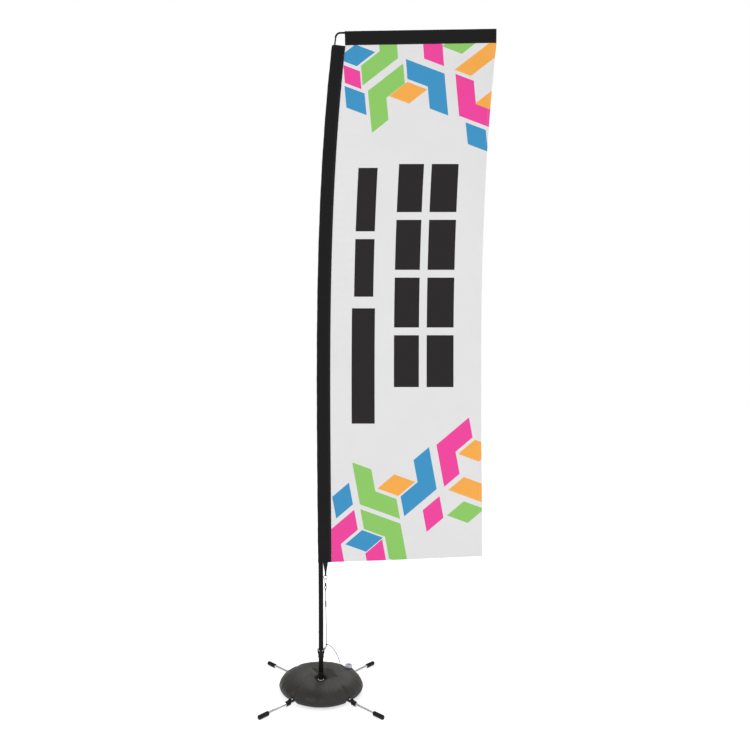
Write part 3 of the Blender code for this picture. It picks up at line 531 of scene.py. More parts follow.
def mottle_group():
    """Two sizes of noise: slow colour drift, and fine grain."""
    group, t, given, out = new_group(
        "mottle", {"Place": ("Vector", None), "Drift Size": ("Float", 8.0), "Grain Size": ("Float", 900.0)},
        {"Drift": "Float", "Grain": "Float"})
    for label, detail in (("Drift", 4.0), ("Grain", 2.0)):
        noise = t.node("ShaderNodeTexNoise")
        t.feed(noise.inputs["Vector"], given["Place"])
        t.feed(noise.inputs["Scale"], given[label + " Size"])
        noise.inputs["Detail"].default_value = detail
        t.feed(out[label], t.band(noise.outputs["Fac"], 0.3, 0.7))
    return group


def scuff_group():
    """Fine scratches drawn along Z, and rubbed patches where two noises agree."""
    group, t, given, out = new_group("scuffs", {"Place": ("Vector", None), "Amount": ("Float", 0.5)},
                                     {"Scratch": "Float", "Rub": "Float"})
    mapping = t.node("ShaderNodeMapping")
    t.feed(mapping.inputs["Vector"], given["Place"])
    mapping.inputs["Scale"].default_value = (900, 900, 14)
    fine = t.noise(mapping.outputs[0], 1.0, 2.0)
    broad = t.noise(given["Place"], 55.0, 4.0)
    t.feed(out["Scratch"], t.times(t.band(fine, 0.66, 0.74), given["Amount"]))
    t.feed(out["Rub"], t.times(t.band(broad, 0.55, 0.75), given["Amount"]))
    return group


WOVEN = woven_group()
STITCHES = stitch_group()
MOTTLE = mottle_group()
SCUFFS = scuff_group()


def new_finish(name, roughness, metallic=0.0, **sockets):
    """A Principled material with its constant sockets set, and its Tree."""
    made = bpy.data.materials.new(name)
    made.use_nodes = True
    shader = made.node_tree.nodes["Principled BSDF"]
    for key, value in {"Roughness": roughness, "Metallic": metallic, **sockets}.items():
        shader.inputs[key.replace("_", " ")].default_value = value
    return made, Tree(made.node_tree)


def wired(made, t, base, roughness, normal):
    """The material with its varying colour, roughness and normal wired in."""
    shader = made.node_tree.nodes["Principled BSDF"]
    for socket, value in (("Base Color", base), ("Roughness", roughness), ("Normal", normal)):
        if value is not None:
            t.feed(shader.inputs[socket], value)
    return made


def object_place(t):
    """A point's own place on the piece, in metres."""
    return t.node("ShaderNodeTexCoord").outputs["Object"]


def surface_map(t):
    """The piece's own map, in metres."""
    return t.node("ShaderNodeUVMap", uv_map="surface").outputs[0]


def moulded(name, color, roughness):
    """Moulded plastic: fine grain, slow colour drift and light rubs."""
    made, t = new_finish(name, roughness, Specular_IOR_Level=0.15)
    place = object_place(t)
    mottle = t.use(MOTTLE, Place=place, Drift_Size=24.0, Grain_Size=1400.0)
    scuffs = t.use(SCUFFS, Place=place, Amount=0.35)
    lighter = tuple(min(1.0, c * 1.6 + 0.012) for c in color)
    base = t.mix(t.times(mottle["Drift"], 0.35), (*color, 1), (*lighter, 1))
    base = t.mix(t.times(scuffs["Rub"], 0.25), base, (*(c * 0.5 + 0.16 for c in color), 1))
    rough = t.band(mottle["Grain"], 0, 1, roughness - 0.06, roughness + 0.08)
    return wired(made, t, base, rough, t.bump(mottle["Grain"], 0.5, 0.00006))


def plated(name, color, roughness, grain):
    """Plated steel: fine drawn lines along the piece and slight clouding."""
    made, t = new_finish(name, roughness, 1.0)
    place = object_place(t)
    scuffs = t.use(SCUFFS, Place=place, Amount=grain)
    mottle = t.use(MOTTLE, Place=place, Drift_Size=60.0, Grain_Size=700.0)
    base = t.mix(t.times(mottle["Drift"], 0.4), (*color, 1), (*(c * 0.72 for c in color), 1))
    rough = t.plus(t.band(mottle["Drift"], 0, 1, roughness, roughness + 0.10), t.times(scuffs["Scratch"], 0.12))
    return wired(made, t, base, rough, t.bump(scuffs["Scratch"], 0.25, 0.00003))


def black_tube_finish():
    """Satin black pole tube: drawn along its length, with a clear coat and light scuffs."""
    made, t = new_finish("black_tube", 0.34, 0.0, Specular_IOR_Level=0.1)
    place = object_place(t)
    scuffs = t.use(SCUFFS, Place=place, Amount=0.8)
    mottle = t.use(MOTTLE, Place=place, Drift_Size=9.0, Grain_Size=1600.0)
    base = t.mix(mottle["Drift"], (0.0035, 0.0035, 0.0039, 1), (0.0080, 0.0080, 0.0086, 1))
    base = t.mix(t.times(scuffs["Scratch"], 0.5), base, (0.06, 0.06, 0.06, 1))
    rough = t.band(mottle["Grain"], 0, 1, 0.28, 0.42)
    return wired(made, t, base, rough, t.bump(mottle["Grain"], 0.3, 0.00004))


def cloth_finish(name, color, pitch, stitch_lines, sheen):
    """Woven cloth on its own map, with painted shade in the gaps between threads and rows of grey stitches
    along it.
    """
    made, t = new_finish(name, 0.85, Sheen_Weight=sheen, Sheen_Roughness=0.5, Specular_IOR_Level=0.12)
    surface = surface_map(t)
    weave = t.use(WOVEN, Map=surface, Pitch=pitch)
    mottle = t.use(MOTTLE, Place=object_place(t), Drift_Size=6.0, Grain_Size=420.0)
    # dark is the colour of the painted shade between threads; light is the paler random tone
    dark = tuple(c * 0.45 for c in color)
    light = tuple(c * 1.35 for c in color)
    base = t.mix(t.times(mottle["Drift"], 0.45), (*color, 1), (*light, 1))
    # painted shade: the gaps between threads darkened towards the dark copy of the colour
    base = t.mix(t.times(weave["Gap"], 0.8), base, (*dark, 1))
    height = t.plus(weave["Height"], t.times(mottle["Grain"], 0.3))
    for line in stitch_lines:
        row = t.use(STITCHES, Map=surface, Line=line, Length=0.0042)
        base = t.mix(row["Thread"], base, (0.05, 0.05, 0.055, 1))
        height = t.minus(height, t.times(row["Pucker"], 1.6))
        height = t.plus(height, t.times(row["Thread"], 2.4))
    return wired(made, t, base, t.band(mottle["Drift"], 0, 1, 0.79, 0.91), t.bump(height, 0.55, pitch * 0.35))


def cord_finish(name, dark, light, radius):
    """Braided cord: strands that cross on the tube's own map, painted lighter on their crests and darker
    between them as painted light and shade, with paler flecks.
    """
    made, t = new_finish(name, 0.8, Sheen_Weight=0.3)
    x, y, _ = t.split(surface_map(t))
    strands = 8 / (TAU * radius)
    one = t.math("SINE", t.times(t.plus(x, y), TAU * strands))
    two = t.math("SINE", t.times(t.minus(x, y), TAU * strands))
    braid = t.math("MAXIMUM", one, two)
    fleck = t.noise(object_place(t), 900.0)
    # painted light and shade: strand crests take the light colour, the grooves between strands the dark one
    base = t.mix(t.band(braid, -0.2, 0.9), (*dark, 1), (*light, 1))
    base = t.mix(t.band(fleck, 0.6, 0.7), base, tuple(c * 1.6 for c in light) + (1,))
    return wired(made, t, base, t.band(fleck, 0, 1, 0.72, 0.9), t.bump(braid, 0.7, radius * 0.18))


FINISHES = {
    "black_tube": black_tube_finish(),
    "black_plastic": moulded("black_plastic", (0.0085, 0.0085, 0.0092), 0.46),
    "chrome": plated("chrome", (0.80, 0.80, 0.82), 0.10, 0.35),
    "steel": plated("steel", (0.46, 0.47, 0.49), 0.26, 0.6),
    "nylon": moulded("nylon", (0.72, 0.71, 0.68), 0.42),
    "white_plastic": moulded("white_plastic", (0.74, 0.73, 0.78), 0.36),
    "black_cloth": cloth_finish("black_cloth", (0.0100, 0.0100, 0.0108), 0.0011,
                                (0.0035, 0.0095, 0.1515, 0.1575), 0.05),
    "webbing": cloth_finish("webbing", (0.013, 0.013, 0.014), 0.0016, (-0.0085, 0.0085), 0.1),
    "cord": cord_finish("cord", (0.012, 0.012, 0.014), (0.055, 0.055, 0.060), 0.0017)}


def srgb(*levels):
    """Screen levels from 0 to 255 as scene-linear colour."""
    share = np.array(levels, float) / 255
    return tuple(np.where(share <= 0.04045, share / 12.92, ((share + 0.055) / 1.055) ** 2.4)) + (1.0,)


# ---- printed panel ----------------------------------------------------------------------------------
FALL, ACROSS, CLIMB = math.radians(-80), math.radians(-20), math.radians(40)   # the print's three directions
EDGE = 0.115                  # side of one rhombus
LEG = 0.222                   # long side of an angled bar
BLUE, GREEN, PINK, ORANGE = srgb(59, 146, 195), srgb(140, 200, 101), srgb(237, 67, 156), srgb(245, 170, 75)
BLACK = srgb(35, 31, 32)


def cell(corner, first, first_length, second, second_length):
    """A parallelogram of the print: a corner, and two sides as direction and signed length."""
    return (corner, first, first_length, second, second_length)


def rhombus(centre, first, second):
    """A rhombus of one edge about its centre."""
    half = EDGE / 2
    corner = (centre[0] - half * (math.cos(first) + math.cos(second)),
              centre[1] - half * (math.sin(first) + math.sin(second)))
    return [cell(corner, first, EDGE, second, EDGE)]


def angle_bar(corner, first, first_sign, second, second_sign, legs=(LEG, LEG)):
    """Two bars that share a corner and run off along two directions."""
    wide = EDGE * 0.92
    return [cell(corner, first, first_sign * legs[0], second, second_sign * wide),
            cell(corner, second, second_sign * legs[1], first, first_sign * wide)]


def upright(left, right, foot, head):
    """An upright bar as a cell: along the horizontal and the vertical."""
    return cell((left, foot), 0.0, right - left, math.pi / 2, head - foot)


PRINT = {
    "green": (GREEN, [
        *angle_bar((0.15, 0.30), FALL, -1, ACROSS, 1), *angle_bar((0.36, 0.20), ACROSS, -1, FALL, 1),
        *rhombus((0.70, 0.26), ACROSS, CLIMB), *angle_bar((0.28, 2.62), FALL, -1, CLIMB, -1),
        *angle_bar((0.14, 2.45), CLIMB, 1, FALL, 1), *rhombus((0.60, 2.70), ACROSS, CLIMB)]),
    "blue": (BLUE, [
        *angle_bar((0.55, 0.38), FALL, -1, CLIMB, -1), *rhombus((0.06, 0.32), FALL, CLIMB),
        *rhombus((0.17, 0.11), ACROSS, CLIMB), *rhombus((0.06, 2.635), ACROSS, CLIMB),
        *rhombus((0.08, 2.40), FALL, ACROSS), *angle_bar((0.53, 2.54), ACROSS, -1, FALL, 1),
        *rhombus((0.725, 2.21), FALL, ACROSS)]),
    "pink": (PINK, [
        *angle_bar((0.55, 0.61), CLIMB, 1, FALL, 1), *rhombus((0.53, 0.25), FALL, CLIMB),
        *angle_bar((-0.05, 0.13), CLIMB, 1, FALL, 1), *rhombus((0.23, 0.025), FALL, CLIMB),
        cell((0.00, 2.585), FALL, 0.095, ACROSS, 0.095), *rhombus((0.46, 2.655), FALL, ACROSS),
        *angle_bar((0.625, 2.32), FALL, -1, ACROSS, 1)]),
    "orange": (ORANGE, [
        *rhombus((0.34, 0.40), ACROSS, CLIMB), *rhombus((0.76, 0.58), ACROSS, CLIMB),
        cell((0.61, 0.375), CLIMB, EDGE * 0.92, ACROSS, 0.24), *rhombus((0.35, 2.44), ACROSS, CLIMB),
        cell((0.58, 2.56), CLIMB, 0.26, ACROSS, EDGE * 0.82), *rhombus((0.80, 2.40), ACROSS, CLIMB)]),
    "black": (BLACK, [
        *(upright(left, right, foot, head) for left, right in ((0.33, 0.46), (0.50, 0.64))
          for foot, head in ((1.82, 2.07), (1.52, 1.78), (1.22, 1.48), (0.91, 1.18))),
        upright(0.12, 0.22, 1.72, 2.05), upright(0.12, 0.22, 1.38, 1.68), upright(0.11, 0.23, 0.72, 1.32)]),
}


def print_group():
    """The print as masks on the panel's map in metres: each cell is two strips that cross."""
    outputs = {name: "Float" for name in PRINT}
    group, t, given, out = new_group("panel_print", {"Map": ("Vector", None)}, outputs)
    across, up, _ = t.split(given["Map"])
    strips = {}
    for angle in (FALL, ACROSS, CLIMB, 0.0, math.pi / 2):
        strips[angle] = t.minus(t.times(across, math.sin(angle)),
                               t.times(up, math.cos(angle)))

    def strip(corner, along, side, length):
        """1 between the line through the corner and the line that far along the other side."""
        start = corner[0] * math.sin(along) - corner[1] * math.cos(along)
        reach = length * (math.cos(side) * math.sin(along) - math.sin(side) * math.cos(along))
        return t.math("COMPARE", strips[along], start + reach / 2, abs(reach) / 2)

    for name, (_, cells) in PRINT.items():
        total = None
        for corner, first, first_length, second, second_length in cells:
            mask = t.times(strip(corner, first, second, second_length),
                          strip(corner, second, first, first_length))
            total = mask if total is None else t.math("MAXIMUM", total, mask)
        t.feed(out[name], total)
    return group


PANEL = node_points("flag_panel")
PANEL_REACH = PANEL[:, 0] - bow(PANEL[:, 2])
SEAM, FREE_EDGE = PANEL_REACH.min(), PANEL_REACH.max()
PANEL_WIDTH = FREE_EDGE - SEAM
PANEL_FOOT = PANEL[:, 2].min()
BEHIND = PANEL[PANEL_REACH < SEAM + 0.002, 2]
AHEAD = PANEL[PANEL_REACH > FREE_EDGE - 0.002, 2]
FOOT_RISE = AHEAD.min() - BEHIND.min()
ROOF, ROOF_RISE = BEHIND.max(), AHEAD.max() - BEHIND.max()


def panel_finish():
    """White polyester with the print soaked in, painted shade in the gaps between threads, hem stitches along
    its free edge.
    """
    made, t = new_finish("panel_cloth", 0.78, Sheen_Weight=0.05, Sheen_Roughness=0.4, Specular_IOR_Level=0.15)
    surface = surface_map(t)
    weave = t.use(WOVEN, Map=surface, Pitch=0.0009)
    mottle = t.use(MOTTLE, Place=object_place(t), Drift_Size=5.0, Grain_Size=300.0)
    base = t.mix(t.times(mottle["Drift"], 0.3), srgb(226, 226, 226), srgb(218, 218, 219))
    masks = t.use(print_group(), Map=surface)
    for name, (color, _) in PRINT.items():
        base = t.mix(masks[name], base, color)
    # painted shade: grey in the gaps between threads
    base = t.mix(t.times(weave["Gap"], 0.12), base, srgb(120, 120, 122))
    row = t.use(STITCHES, Map=surface, Line=PANEL_WIDTH - 0.011, Length=0.0042)
    base = t.mix(t.times(row["Thread"], 0.5), base, srgb(205, 205, 205))
    height = t.plus(weave["Height"], t.times(mottle["Grain"], 0.4))
    height = t.minus(height, t.times(row["Pucker"], 1.5))
    return wired(made, t, base, None, t.bump(height, 0.4, 0.00025))


def panel_ripple(u, v, height):
    """How far the panel bellies out: slow waves down its length, gathers by the seam, pulls from two corners.

    Each part fades to nothing at the seam and along the top, where the cloth is sewn down.
    """
    held = np.clip(u / 0.05, 0, 1) * np.clip((height - v) / 0.06, 0, 1)
    spread = np.sin(math.pi * np.clip(u / PANEL_WIDTH, 0, 1) * 0.8)
    slow = 0.0022 * np.sin(TAU * (v / 1.45 + 0.22 * u) + 0.6) * spread
    free = 0.0013 * (u / PANEL_WIDTH) ** 2 * np.sin(TAU * v / 0.62 + 1.4 * np.sin(v * 2.1))
    gathers = 0.0006 * np.exp(-u / 0.06) * np.sin(TAU * v / 0.047 + 2.0 * np.sin(7.3 * v))
    pull_low = 0.0010 * np.exp(-(u + 0.9 * v) / 0.30) * np.sin(TAU * (u - 0.55 * v) / 0.085)
    far = (PANEL_WIDTH - u) + 0.9 * (height - v)
    pull_high = 0.0009 * np.exp(-far / 0.28) * np.sin(TAU * (u - 0.6 * v) / 0.10)
    return held * (slow + free + gathers + pull_low + pull_high)


def add_panel():
    """The printed panel.

    x = bow(z) + seam + u and z = foot(u) + (roof(u) - foot(u)) v', with u from the seam and v' from 0 to 1.
    """
    across, up = np.meshgrid(np.linspace(0, 1, 110), np.linspace(0, 1, 400))
    u = PANEL_WIDTH * across
    foot = PANEL_FOOT + FOOT_RISE * across - 0.0022 * np.sin(math.pi * across)
    roof = ROOF + ROOF_RISE * across
    z = foot + (roof - foot) * up
    v = z - PANEL_FOOT
    y = panel_ripple(u, v, ROOF - PANEL_FOOT)
    mesh = grid_mesh("banner", np.stack([bow(z) + SEAM + u, y, z], -1), np.stack([u, v], -1))
    banner = add_piece("banner", thickened(mesh), "panel_cloth", "rotor", "flag_panel", finish=panel_finish())


SEAM_HALF = 0.0011            # from the panel's middle to a sleeve's cloth where it is sewn on
TIP_RADIUS = 0.0048           # top rod, elbow and the pole's end
SLEEVE = node_points("side_sleeve")
SLEEVE_REACH = SLEEVE[:, 0] - bow(SLEEVE[:, 2])
SLEEVE_BACK = -SLEEVE_REACH.min()
SLEEVE_FOOT, SLEEVE_TOP = SLEEVE[:, 2].min(), SLEEVE[:, 2].max()


def pocket_section(bulge, seam, seam_half, share):
    """A sleeve's section at shares 0 to 1 round it: seam, straight side, round back, straight side, seam.

    Gives distances along the cloth's reach, to the side, and the run along the cloth.
    """
    lean = math.atan2(seam_half, seam) + math.acos(bulge / math.hypot(seam, seam_half))
    arc = np.linspace(lean, TAU - lean, 61)
    x = np.concatenate([[seam], bulge * np.cos(arc), [seam]])
    y = np.concatenate([[seam_half], bulge * np.sin(arc), [-seam_half]])
    run = np.concatenate([[0], np.cumsum(np.hypot(np.diff(x), np.diff(y)))])
    at = share * run[-1]
    return np.interp(at, run, x), np.interp(at, run, y), at, run[-1]


def sleeve_wrinkle(at, total, along, length, strength):
    """Loose cloth on a pole: oblique creases, fullest on the flat sides, none at the seam, more at the ends."""
    side = np.sin(math.pi * at / total)
    ends = 1 + 1.4 * np.exp(-along / 0.09) + 1.4 * np.exp(-(length - along) / 0.09)
    slow = np.sin(TAU * (along / 0.21 + 1.1 * at / total) + 1.7 * np.sin(2.3 * along))
    fine = np.sin(TAU * (along / 0.062 - 1.6 * at / total) + 2.2 * np.sin(5.1 * along + 3.0 * at))
    return strength * side ** 1.5 * ends * (0.6 * slow + 0.4 * fine)


def add_side_sleeve():
    """Pocket about the pole: the section above, carried up the bow and pushed inwards by its creases."""
    share, up = np.meshgrid(np.linspace(0, 1, 72), np.linspace(0, 1, 480))
    height = SLEEVE_FOOT + (SLEEVE_TOP - SLEEVE_FOOT) * up
    seam = SEAM - GAP
    x, y, at, total = pocket_section(SLEEVE_BACK - 0.0012, seam, SEAM_HALF, share)
    ruck = sleeve_wrinkle(at, total, height - SLEEVE_FOOT, SLEEVE_TOP - SLEEVE_FOOT, 0.00055)
    scale = 1 + ruck / SLEEVE_BACK
    body = np.clip((seam - x) / 0.012, 0, 1)
    points = np.stack([bow(height) + x * (1 + (scale - 1) * body * (x < 0)), y * (1 + (scale - 1) * body * 1.6),
                       height], -1)
    mesh = grid_mesh("pole_pocket", points, np.stack([at, height - SLEEVE_FOOT], -1), weld=False)
    pocket = add_piece("pole_pocket", thickened(mesh), "black_cloth", "rotor", "side_sleeve")


def add_top_sleeve():
    """Pocket about the top rod: the same section, hanging from the rod along its slope."""
    box_low, box_high = low("top_sleeve"), high("top_sleeve")
    rod_low, rod_high = low("top_rod"), high("top_rod")
    slope = (rod_high[2] - rod_low[2] - 2 * TIP_RADIUS) / (rod_high[0] - rod_low[0])
    along = np.array([1.0, 0, slope]) / math.hypot(1, slope)
    down = np.array([slope, 0, -1.0]) / math.hypot(1, slope)
    start_x, end_x = box_low[0] + 0.001, box_high[0] - 0.001
    axis_z = rod_low[2] + TIP_RADIUS
    start = np.array([start_x, 0, axis_z + slope * (start_x - rod_low[0])])
    length = (end_x - start_x) / along[0]
    drop = start[2] - (ROOF + ROOF_RISE * (start_x - bow(ROOF) - SEAM) / PANEL_WIDTH) - 0.0004
    share, run = np.meshgrid(np.linspace(0, 1, 90), np.linspace(0, 1, 220))
    bulge = half_size("top_sleeve", 1) - 0.0006
    x, y, at, total = pocket_section(bulge, drop, SEAM_HALF, share)
    ruck = sleeve_wrinkle(at, total, run * length, length, 0.0004)
    y = y * (1 + ruck / bulge * np.clip((drop - x) / 0.012, 0, 1))
    points = start + run[..., None] * length * along + x[..., None] * down
    points[..., 1] = y
    mesh = grid_mesh("rod_pocket", points, np.stack([at, run * length], -1), weld=False)
    pocket = add_piece("rod_pocket", thickened(mesh), "black_cloth", "rotor", "top_sleeve")


# ---- pole, top rod and elbow ------------------------------------------------------------------------
WALL = 0.0015
TIP_WALL = 0.0012
ELBOW_RADIUS = 0.026
ROUND = 64                    # segments of the round pieces that show


def bowed_tube(name, node, wall):
    """A pole section: rings of its own radius up the bow, out along its outside and back down its bore."""
    points = node_points(node)
    levels = np.unique(points[:, 2].round(5))
    away = np.hypot(points[:, 0] - bow(points[:, 2]), points[:, 1])
    foot_radius, head_radius = (away[np.abs(points[:, 2] - level) < 2e-5].max() for level in levels[[0, -1]])
    heights = np.linspace(low(node)[2], high(node)[2], 90)
    outer = foot_radius + (head_radius - foot_radius) * (heights - heights[0]) / (heights[-1] - heights[0])
    soft = np.array([0.0004, 0.0001, 0.0])
    outer_z = np.concatenate([heights[0] + soft[::-1], heights[1:-1], heights[-1] - soft])
    outer_r = np.concatenate([outer[0] - soft, outer[1:-1], outer[-1] - soft[::-1]])
    z = np.concatenate([outer_z, heights[::-1], heights[:1]])
    r = np.concatenate([outer_r, outer[::-1] - wall, outer_r[:1]])
    turn = np.linspace(0, TAU, ROUND + 1)
    r, z = r[:, None], z[:, None]
    points = together(bow(z) + r * np.cos(turn), r * np.sin(turn), z)
    return grid_mesh(name, points, together(turn * foot_radius, z))


def add_pole():
    """The lowest section, drilled for the button, and the thin tip. The sections between are hidden."""
    button = middle("spring_button")
    first = bowed_tube("pole_lower", "pole_section_1", WALL)
    drill = lathe("button_hole", [(0, 0.004), (0.0033, 0.004), (0.0033, 0.03), (0, 0.03)],
                  (0, 0, button[2]), (-1, 0, 0), 32)
    add_piece("pole_lower", cut(first, drill), "black_tube", "rotor", "pole_section_1")
    add_piece("pole_tip", bowed_tube("pole_tip", "pole_section_4", TIP_WALL), "black_tube", "rotor",
              "pole_section_4")


def add_rod():
    """Elbow as a quarter bend with slim spigots, and the top rod with its end cap, as lathed tubes."""
    points = node_points("corner_elbow")
    foot = points[points[:, 2] < points[:, 2].min() + 0.0006].mean(0)
    head = points[points[:, 0] > points[:, 0].max() - 0.0006].mean(0)
    rod_low, rod_high = low("top_rod"), high("top_rod")
    radius = half_size("top_rod", 1)
    slope = (rod_high[2] - rod_low[2] - 2 * radius) / (rod_high[0] - rod_low[0])
    along = np.array([1.0, 0, slope]) / math.hypot(1, slope)
    rod_foot = np.array([rod_low[0], 0, rod_low[2] + radius])
    length = (rod_high[0] - rod_low[0]) / along[0] - 2 * radius * slope
    rod_foot = rod_foot + along * radius * slope
    profile = ring_profile(radius - TIP_WALL, radius, 0, length, 0.0003)
    add_piece("top_rod_tube", lathe("top_rod_tube", profile, rod_foot, along, 48), "black_tube", "rotor",
              "top_rod")

    tip = high("pole_section_4")[2]
    up = unit([bow(tip) - bow(tip - 0.01), 0, 0.01])
    start = np.array([float(bow(tip)), 0, tip]) + up * radius / 5
    inwards = np.array([up[2], 0, -up[0]])
    t = np.linspace(0, math.acos(up.dot(along)), 25)[:, None]
    arc = start + ELBOW_RADIUS * (inwards * (1 - np.cos(t)) + up * np.sin(t))
    spigot = radius - TIP_WALL - GAP
    slim = 0.0002
    path = np.concatenate([[foot], [arc[0] - up * slim], arc, [arc[-1] + along * slim], [head]])
    radii = np.concatenate([[spigot, spigot], np.full(len(arc), radius), [spigot, spigot]])
    add_piece("elbow", tube("elbow", path, radii, 48), "black_tube", "rotor", "corner_elbow")

    cap_low, cap_high = low("rod_end_cap"), high("rod_end_cap")
    cap_radius = half_size("rod_end_cap", 1)
    cap_length = (cap_high[0] - cap_low[0]) / along[0] - 2 * cap_radius * slope
    at = rod_foot + along * ((cap_low[0] - rod_foot[0]) / along[0] + cap_radius * slope)
    tip_length = length - (at - rod_foot).dot(along)
    shape = softened([(0, cap_length), (cap_radius * 0.82, cap_length), (cap_radius, cap_length * 0.86),
                      (cap_radius, 0), (radius + GAP, 0), (radius + GAP, tip_length + GAP),
                      (0, tip_length + GAP)], 0.0006)
    add_piece("rod_cap", lathe("rod_cap", shape, at, along, 40), "black_plastic", "rotor", "rod_end_cap")


# ---- hub, bearing flange and collar -----------------------------------------------------------------
def ribbed(outer, depth, starts, down, up, end):
    """Grooves in a turned side: where each starts, and how far on it is deep, begins to rise and ends."""
    return [point for start in starts for point in ((outer, start), (outer - depth, start + down),
                                                    (outer - depth, start + up), (outer, start + end))]


def add_hub():
    """Chrome flange with a groove round it, ribbed boot, washer and the button's dome."""
    foot, (outer, _, head) = low("rotor_flange")[2], high("rotor_flange")
    race = high("bearing_outer_race")[0] + GAP
    lip = head - 0.0030
    bore = high("rotor_tube")[0] + GAP
    groove = 0.0006
    shape = softened([(race, foot), (outer - 0.0014, foot), (outer, foot + 0.0016), (outer, foot + 0.0040),
                      (outer - groove, foot + 0.0044), (outer - groove, foot + 0.0050), (outer, foot + 0.0054),
                      (outer, head - 0.0014), (outer - 0.0016, head), (bore, head), (bore, lip), (race, lip),
                      (race, foot)], 0.0004)
    add_piece("flange", lathe("flange", shape, segments=96), "chrome", "rotor", "rotor_flange")

    foot, (_, outer, head) = low("pole_boot")[2], high("pole_boot")
    pole = high("pole_section_1")[1] + GAP
    ribs = ribbed(outer, 0.0004, [foot + 0.004 + step * 0.0032 for step in range(5)], 0.0005, 0.0010, 0.0015)
    shape = [(pole, foot), (outer, foot)] + ribs + [(outer, head), (pole, head), (pole, foot)]
    shape = softened(shape, 0.0003, 2)
    add_piece("boot", lathe("boot", shape, segments=72), "black_plastic", "rotor", "pole_boot")

    washer = ring_profile(0.0043, high("hub_washer")[0], low("hub_washer")[2], high("hub_washer")[2], 0.0003)
    add_piece("washer", lathe("washer", washer), "steel", "base", "hub_washer")

    button = middle("spring_button")
    button_radius = half_size("spring_button", 2)
    inner_head = -high("spring_button")[0]
    crown = -low("spring_button")[0]
    stem = 0.0030
    dome = [(0.0, crown), (button_radius * 0.45, crown - 0.0002), (stem * 0.8, crown - 0.0008),
            (stem, crown - 0.0018), (stem, inner_head + 0.0012), (button_radius, inner_head + 0.0012),
            (button_radius, inner_head), (0, inner_head)]
    add_piece("button", lathe("button", softened(dome, 0.0004), (0, 0, button[2]), (-1, 0, 0), 40), "chrome",
              "spring_button", "spring_button")


COLLAR_TOP = 0.2155           # of the band; the ears stand above it


def squared(wave, power):
    """A sine or cosine with its shoulders filled out, so that a round section turns squarer."""
    return np.sign(wave) * np.abs(wave) ** power


def add_collar():
    """Clip-on collar: a waisted band with two ears that lean out, their tips rounded, and two rivets."""
    foot, head = low("tie_off_collar")[2], COLLAR_TOP
    bore = high("pole_section_1")[1] + GAP
    outer = high("tie_off_collar")[1]
    tall = head - foot
    waist = outer - 0.0006
    band = softened([(bore, foot), (outer, foot), (outer, foot + tall * 0.10), (waist, foot + tall * 0.14),
                     (waist, foot + tall * 0.30), (outer, foot + tall * 0.34), (outer, head), (bore, head),
                     (bore, foot)], 0.0004)
    collar = lathe("collar", band, segments=72)
    tip_x, tip_z = high("tie_off_collar")[0] - 0.0018, high("tie_off_collar")[2] - 0.0004
    foot_x, foot_z = bore + 0.0021, foot + 0.0185
    for side in (1, -1):
        lean = np.array([side * (tip_x - foot_x), 0, tip_z - foot_z])
        length = np.linalg.norm(lean)
        share, turn = np.meshgrid(np.linspace(0, 1, 22), np.linspace(0, TAU, 49), indexing="ij")
        half_wide = 0.0070 * np.sqrt(np.clip(1 - np.clip((share - 0.62) / 0.38, 0, 1) ** 2 * 0.92, 0, 1))
        half_thick = 0.0015 * (1 - 0.25 * share)
        close = np.where((share == 0) | (share == 1), 0.0, 1.0)
        across = squared(np.sin(turn), 0.75) * half_wide * close
        deep = squared(np.cos(turn), 0.75) * half_thick * close
        normal = np.array([lean[2], 0, -lean[0]]) / length
        start = np.array([side * foot_x, 0, foot_z])
        points = start + share[..., None] * lean + deep[..., None] * normal
        points[..., 1] = across
        points[:, -1] = points[:, 0]
        collar = cut(collar, grid_mesh("ear", points), "UNION")
    add_piece("collar", collar, "black_plastic", "rotor", "tie_off_collar")
    for node in ("collar_rivet_left", "collar_rivet_right"):
        centre = middle(node)
        outwards = np.array([centre[0], centre[1], 0]) / math.hypot(centre[0], centre[1])
        seat = outwards * (outer + GAP) + [0, 0, centre[2]]
        dome = [(0, 0), (0.0021, 0), (0.0021, 0.0003), (0.0017, 0.0009), (0.0009, 0.00115), (0, 0.0012)]
        rivet = lathe("rivet", softened(dome, 0.0002), seat, outwards, 32)
        add_piece(node.replace("collar_", ""), rivet, "chrome", "rotor", node)


# ---- cross base -------------------------------------------------------------------------------------
LEG_TURNS = {"lower": math.radians(45), "upper": math.radians(135)}
LEG_BODIES = {"lower": "base", "upper": "upper_legs"}
LEG_RADIUS = half_size("lower_leg_bar", 2)
LEG_HEIGHT = middle("lower_leg_bar")[2]
CAP_CHAMFER = 0.0015
CAP_LENGTH = 0.060
LOOP_HALF = 0.014             # half the width of a loop's band


def add_leg_cap(side, mark, away):
    """Ribbed end cap with a domed tip, on a leg that runs away from the hub."""
    node = f"{side}_leg_cap_{mark}"
    outer = half_size(node, 2)
    tip = np.abs(np.array([low(node)[:2], high(node)[:2]])).max(0)
    mouth = away * (np.linalg.norm(tip) - outer + CAP_CHAMFER - CAP_LENGTH) + [0, 0, LEG_HEIGHT]
    bore = LEG_RADIUS + GAP
    ribs = ribbed(outer, 0.0006, [0.0060 + 0.0040 * step for step in range(4)], 0.0006, 0.0014, 0.0020)
    shape = softened([(bore, 0), (outer - 0.0006, 0), (outer, 0.0008), (outer, 0.0030)] + ribs
                     + [(outer, CAP_LENGTH - 0.0050), (outer * 0.86, CAP_LENGTH - 0.0012),
                        (outer * 0.5, CAP_LENGTH), (0, CAP_LENGTH)], 0.0012, 3)
    floor = CAP_LENGTH - 0.004
    shape = np.concatenate([[(0, floor), (bore, floor)], shape])
    add_piece(f"{side}_cap_{mark}", lathe("leg_cap", shape, mouth, away, ROUND), "black_plastic",
              LEG_BODIES[side], node)


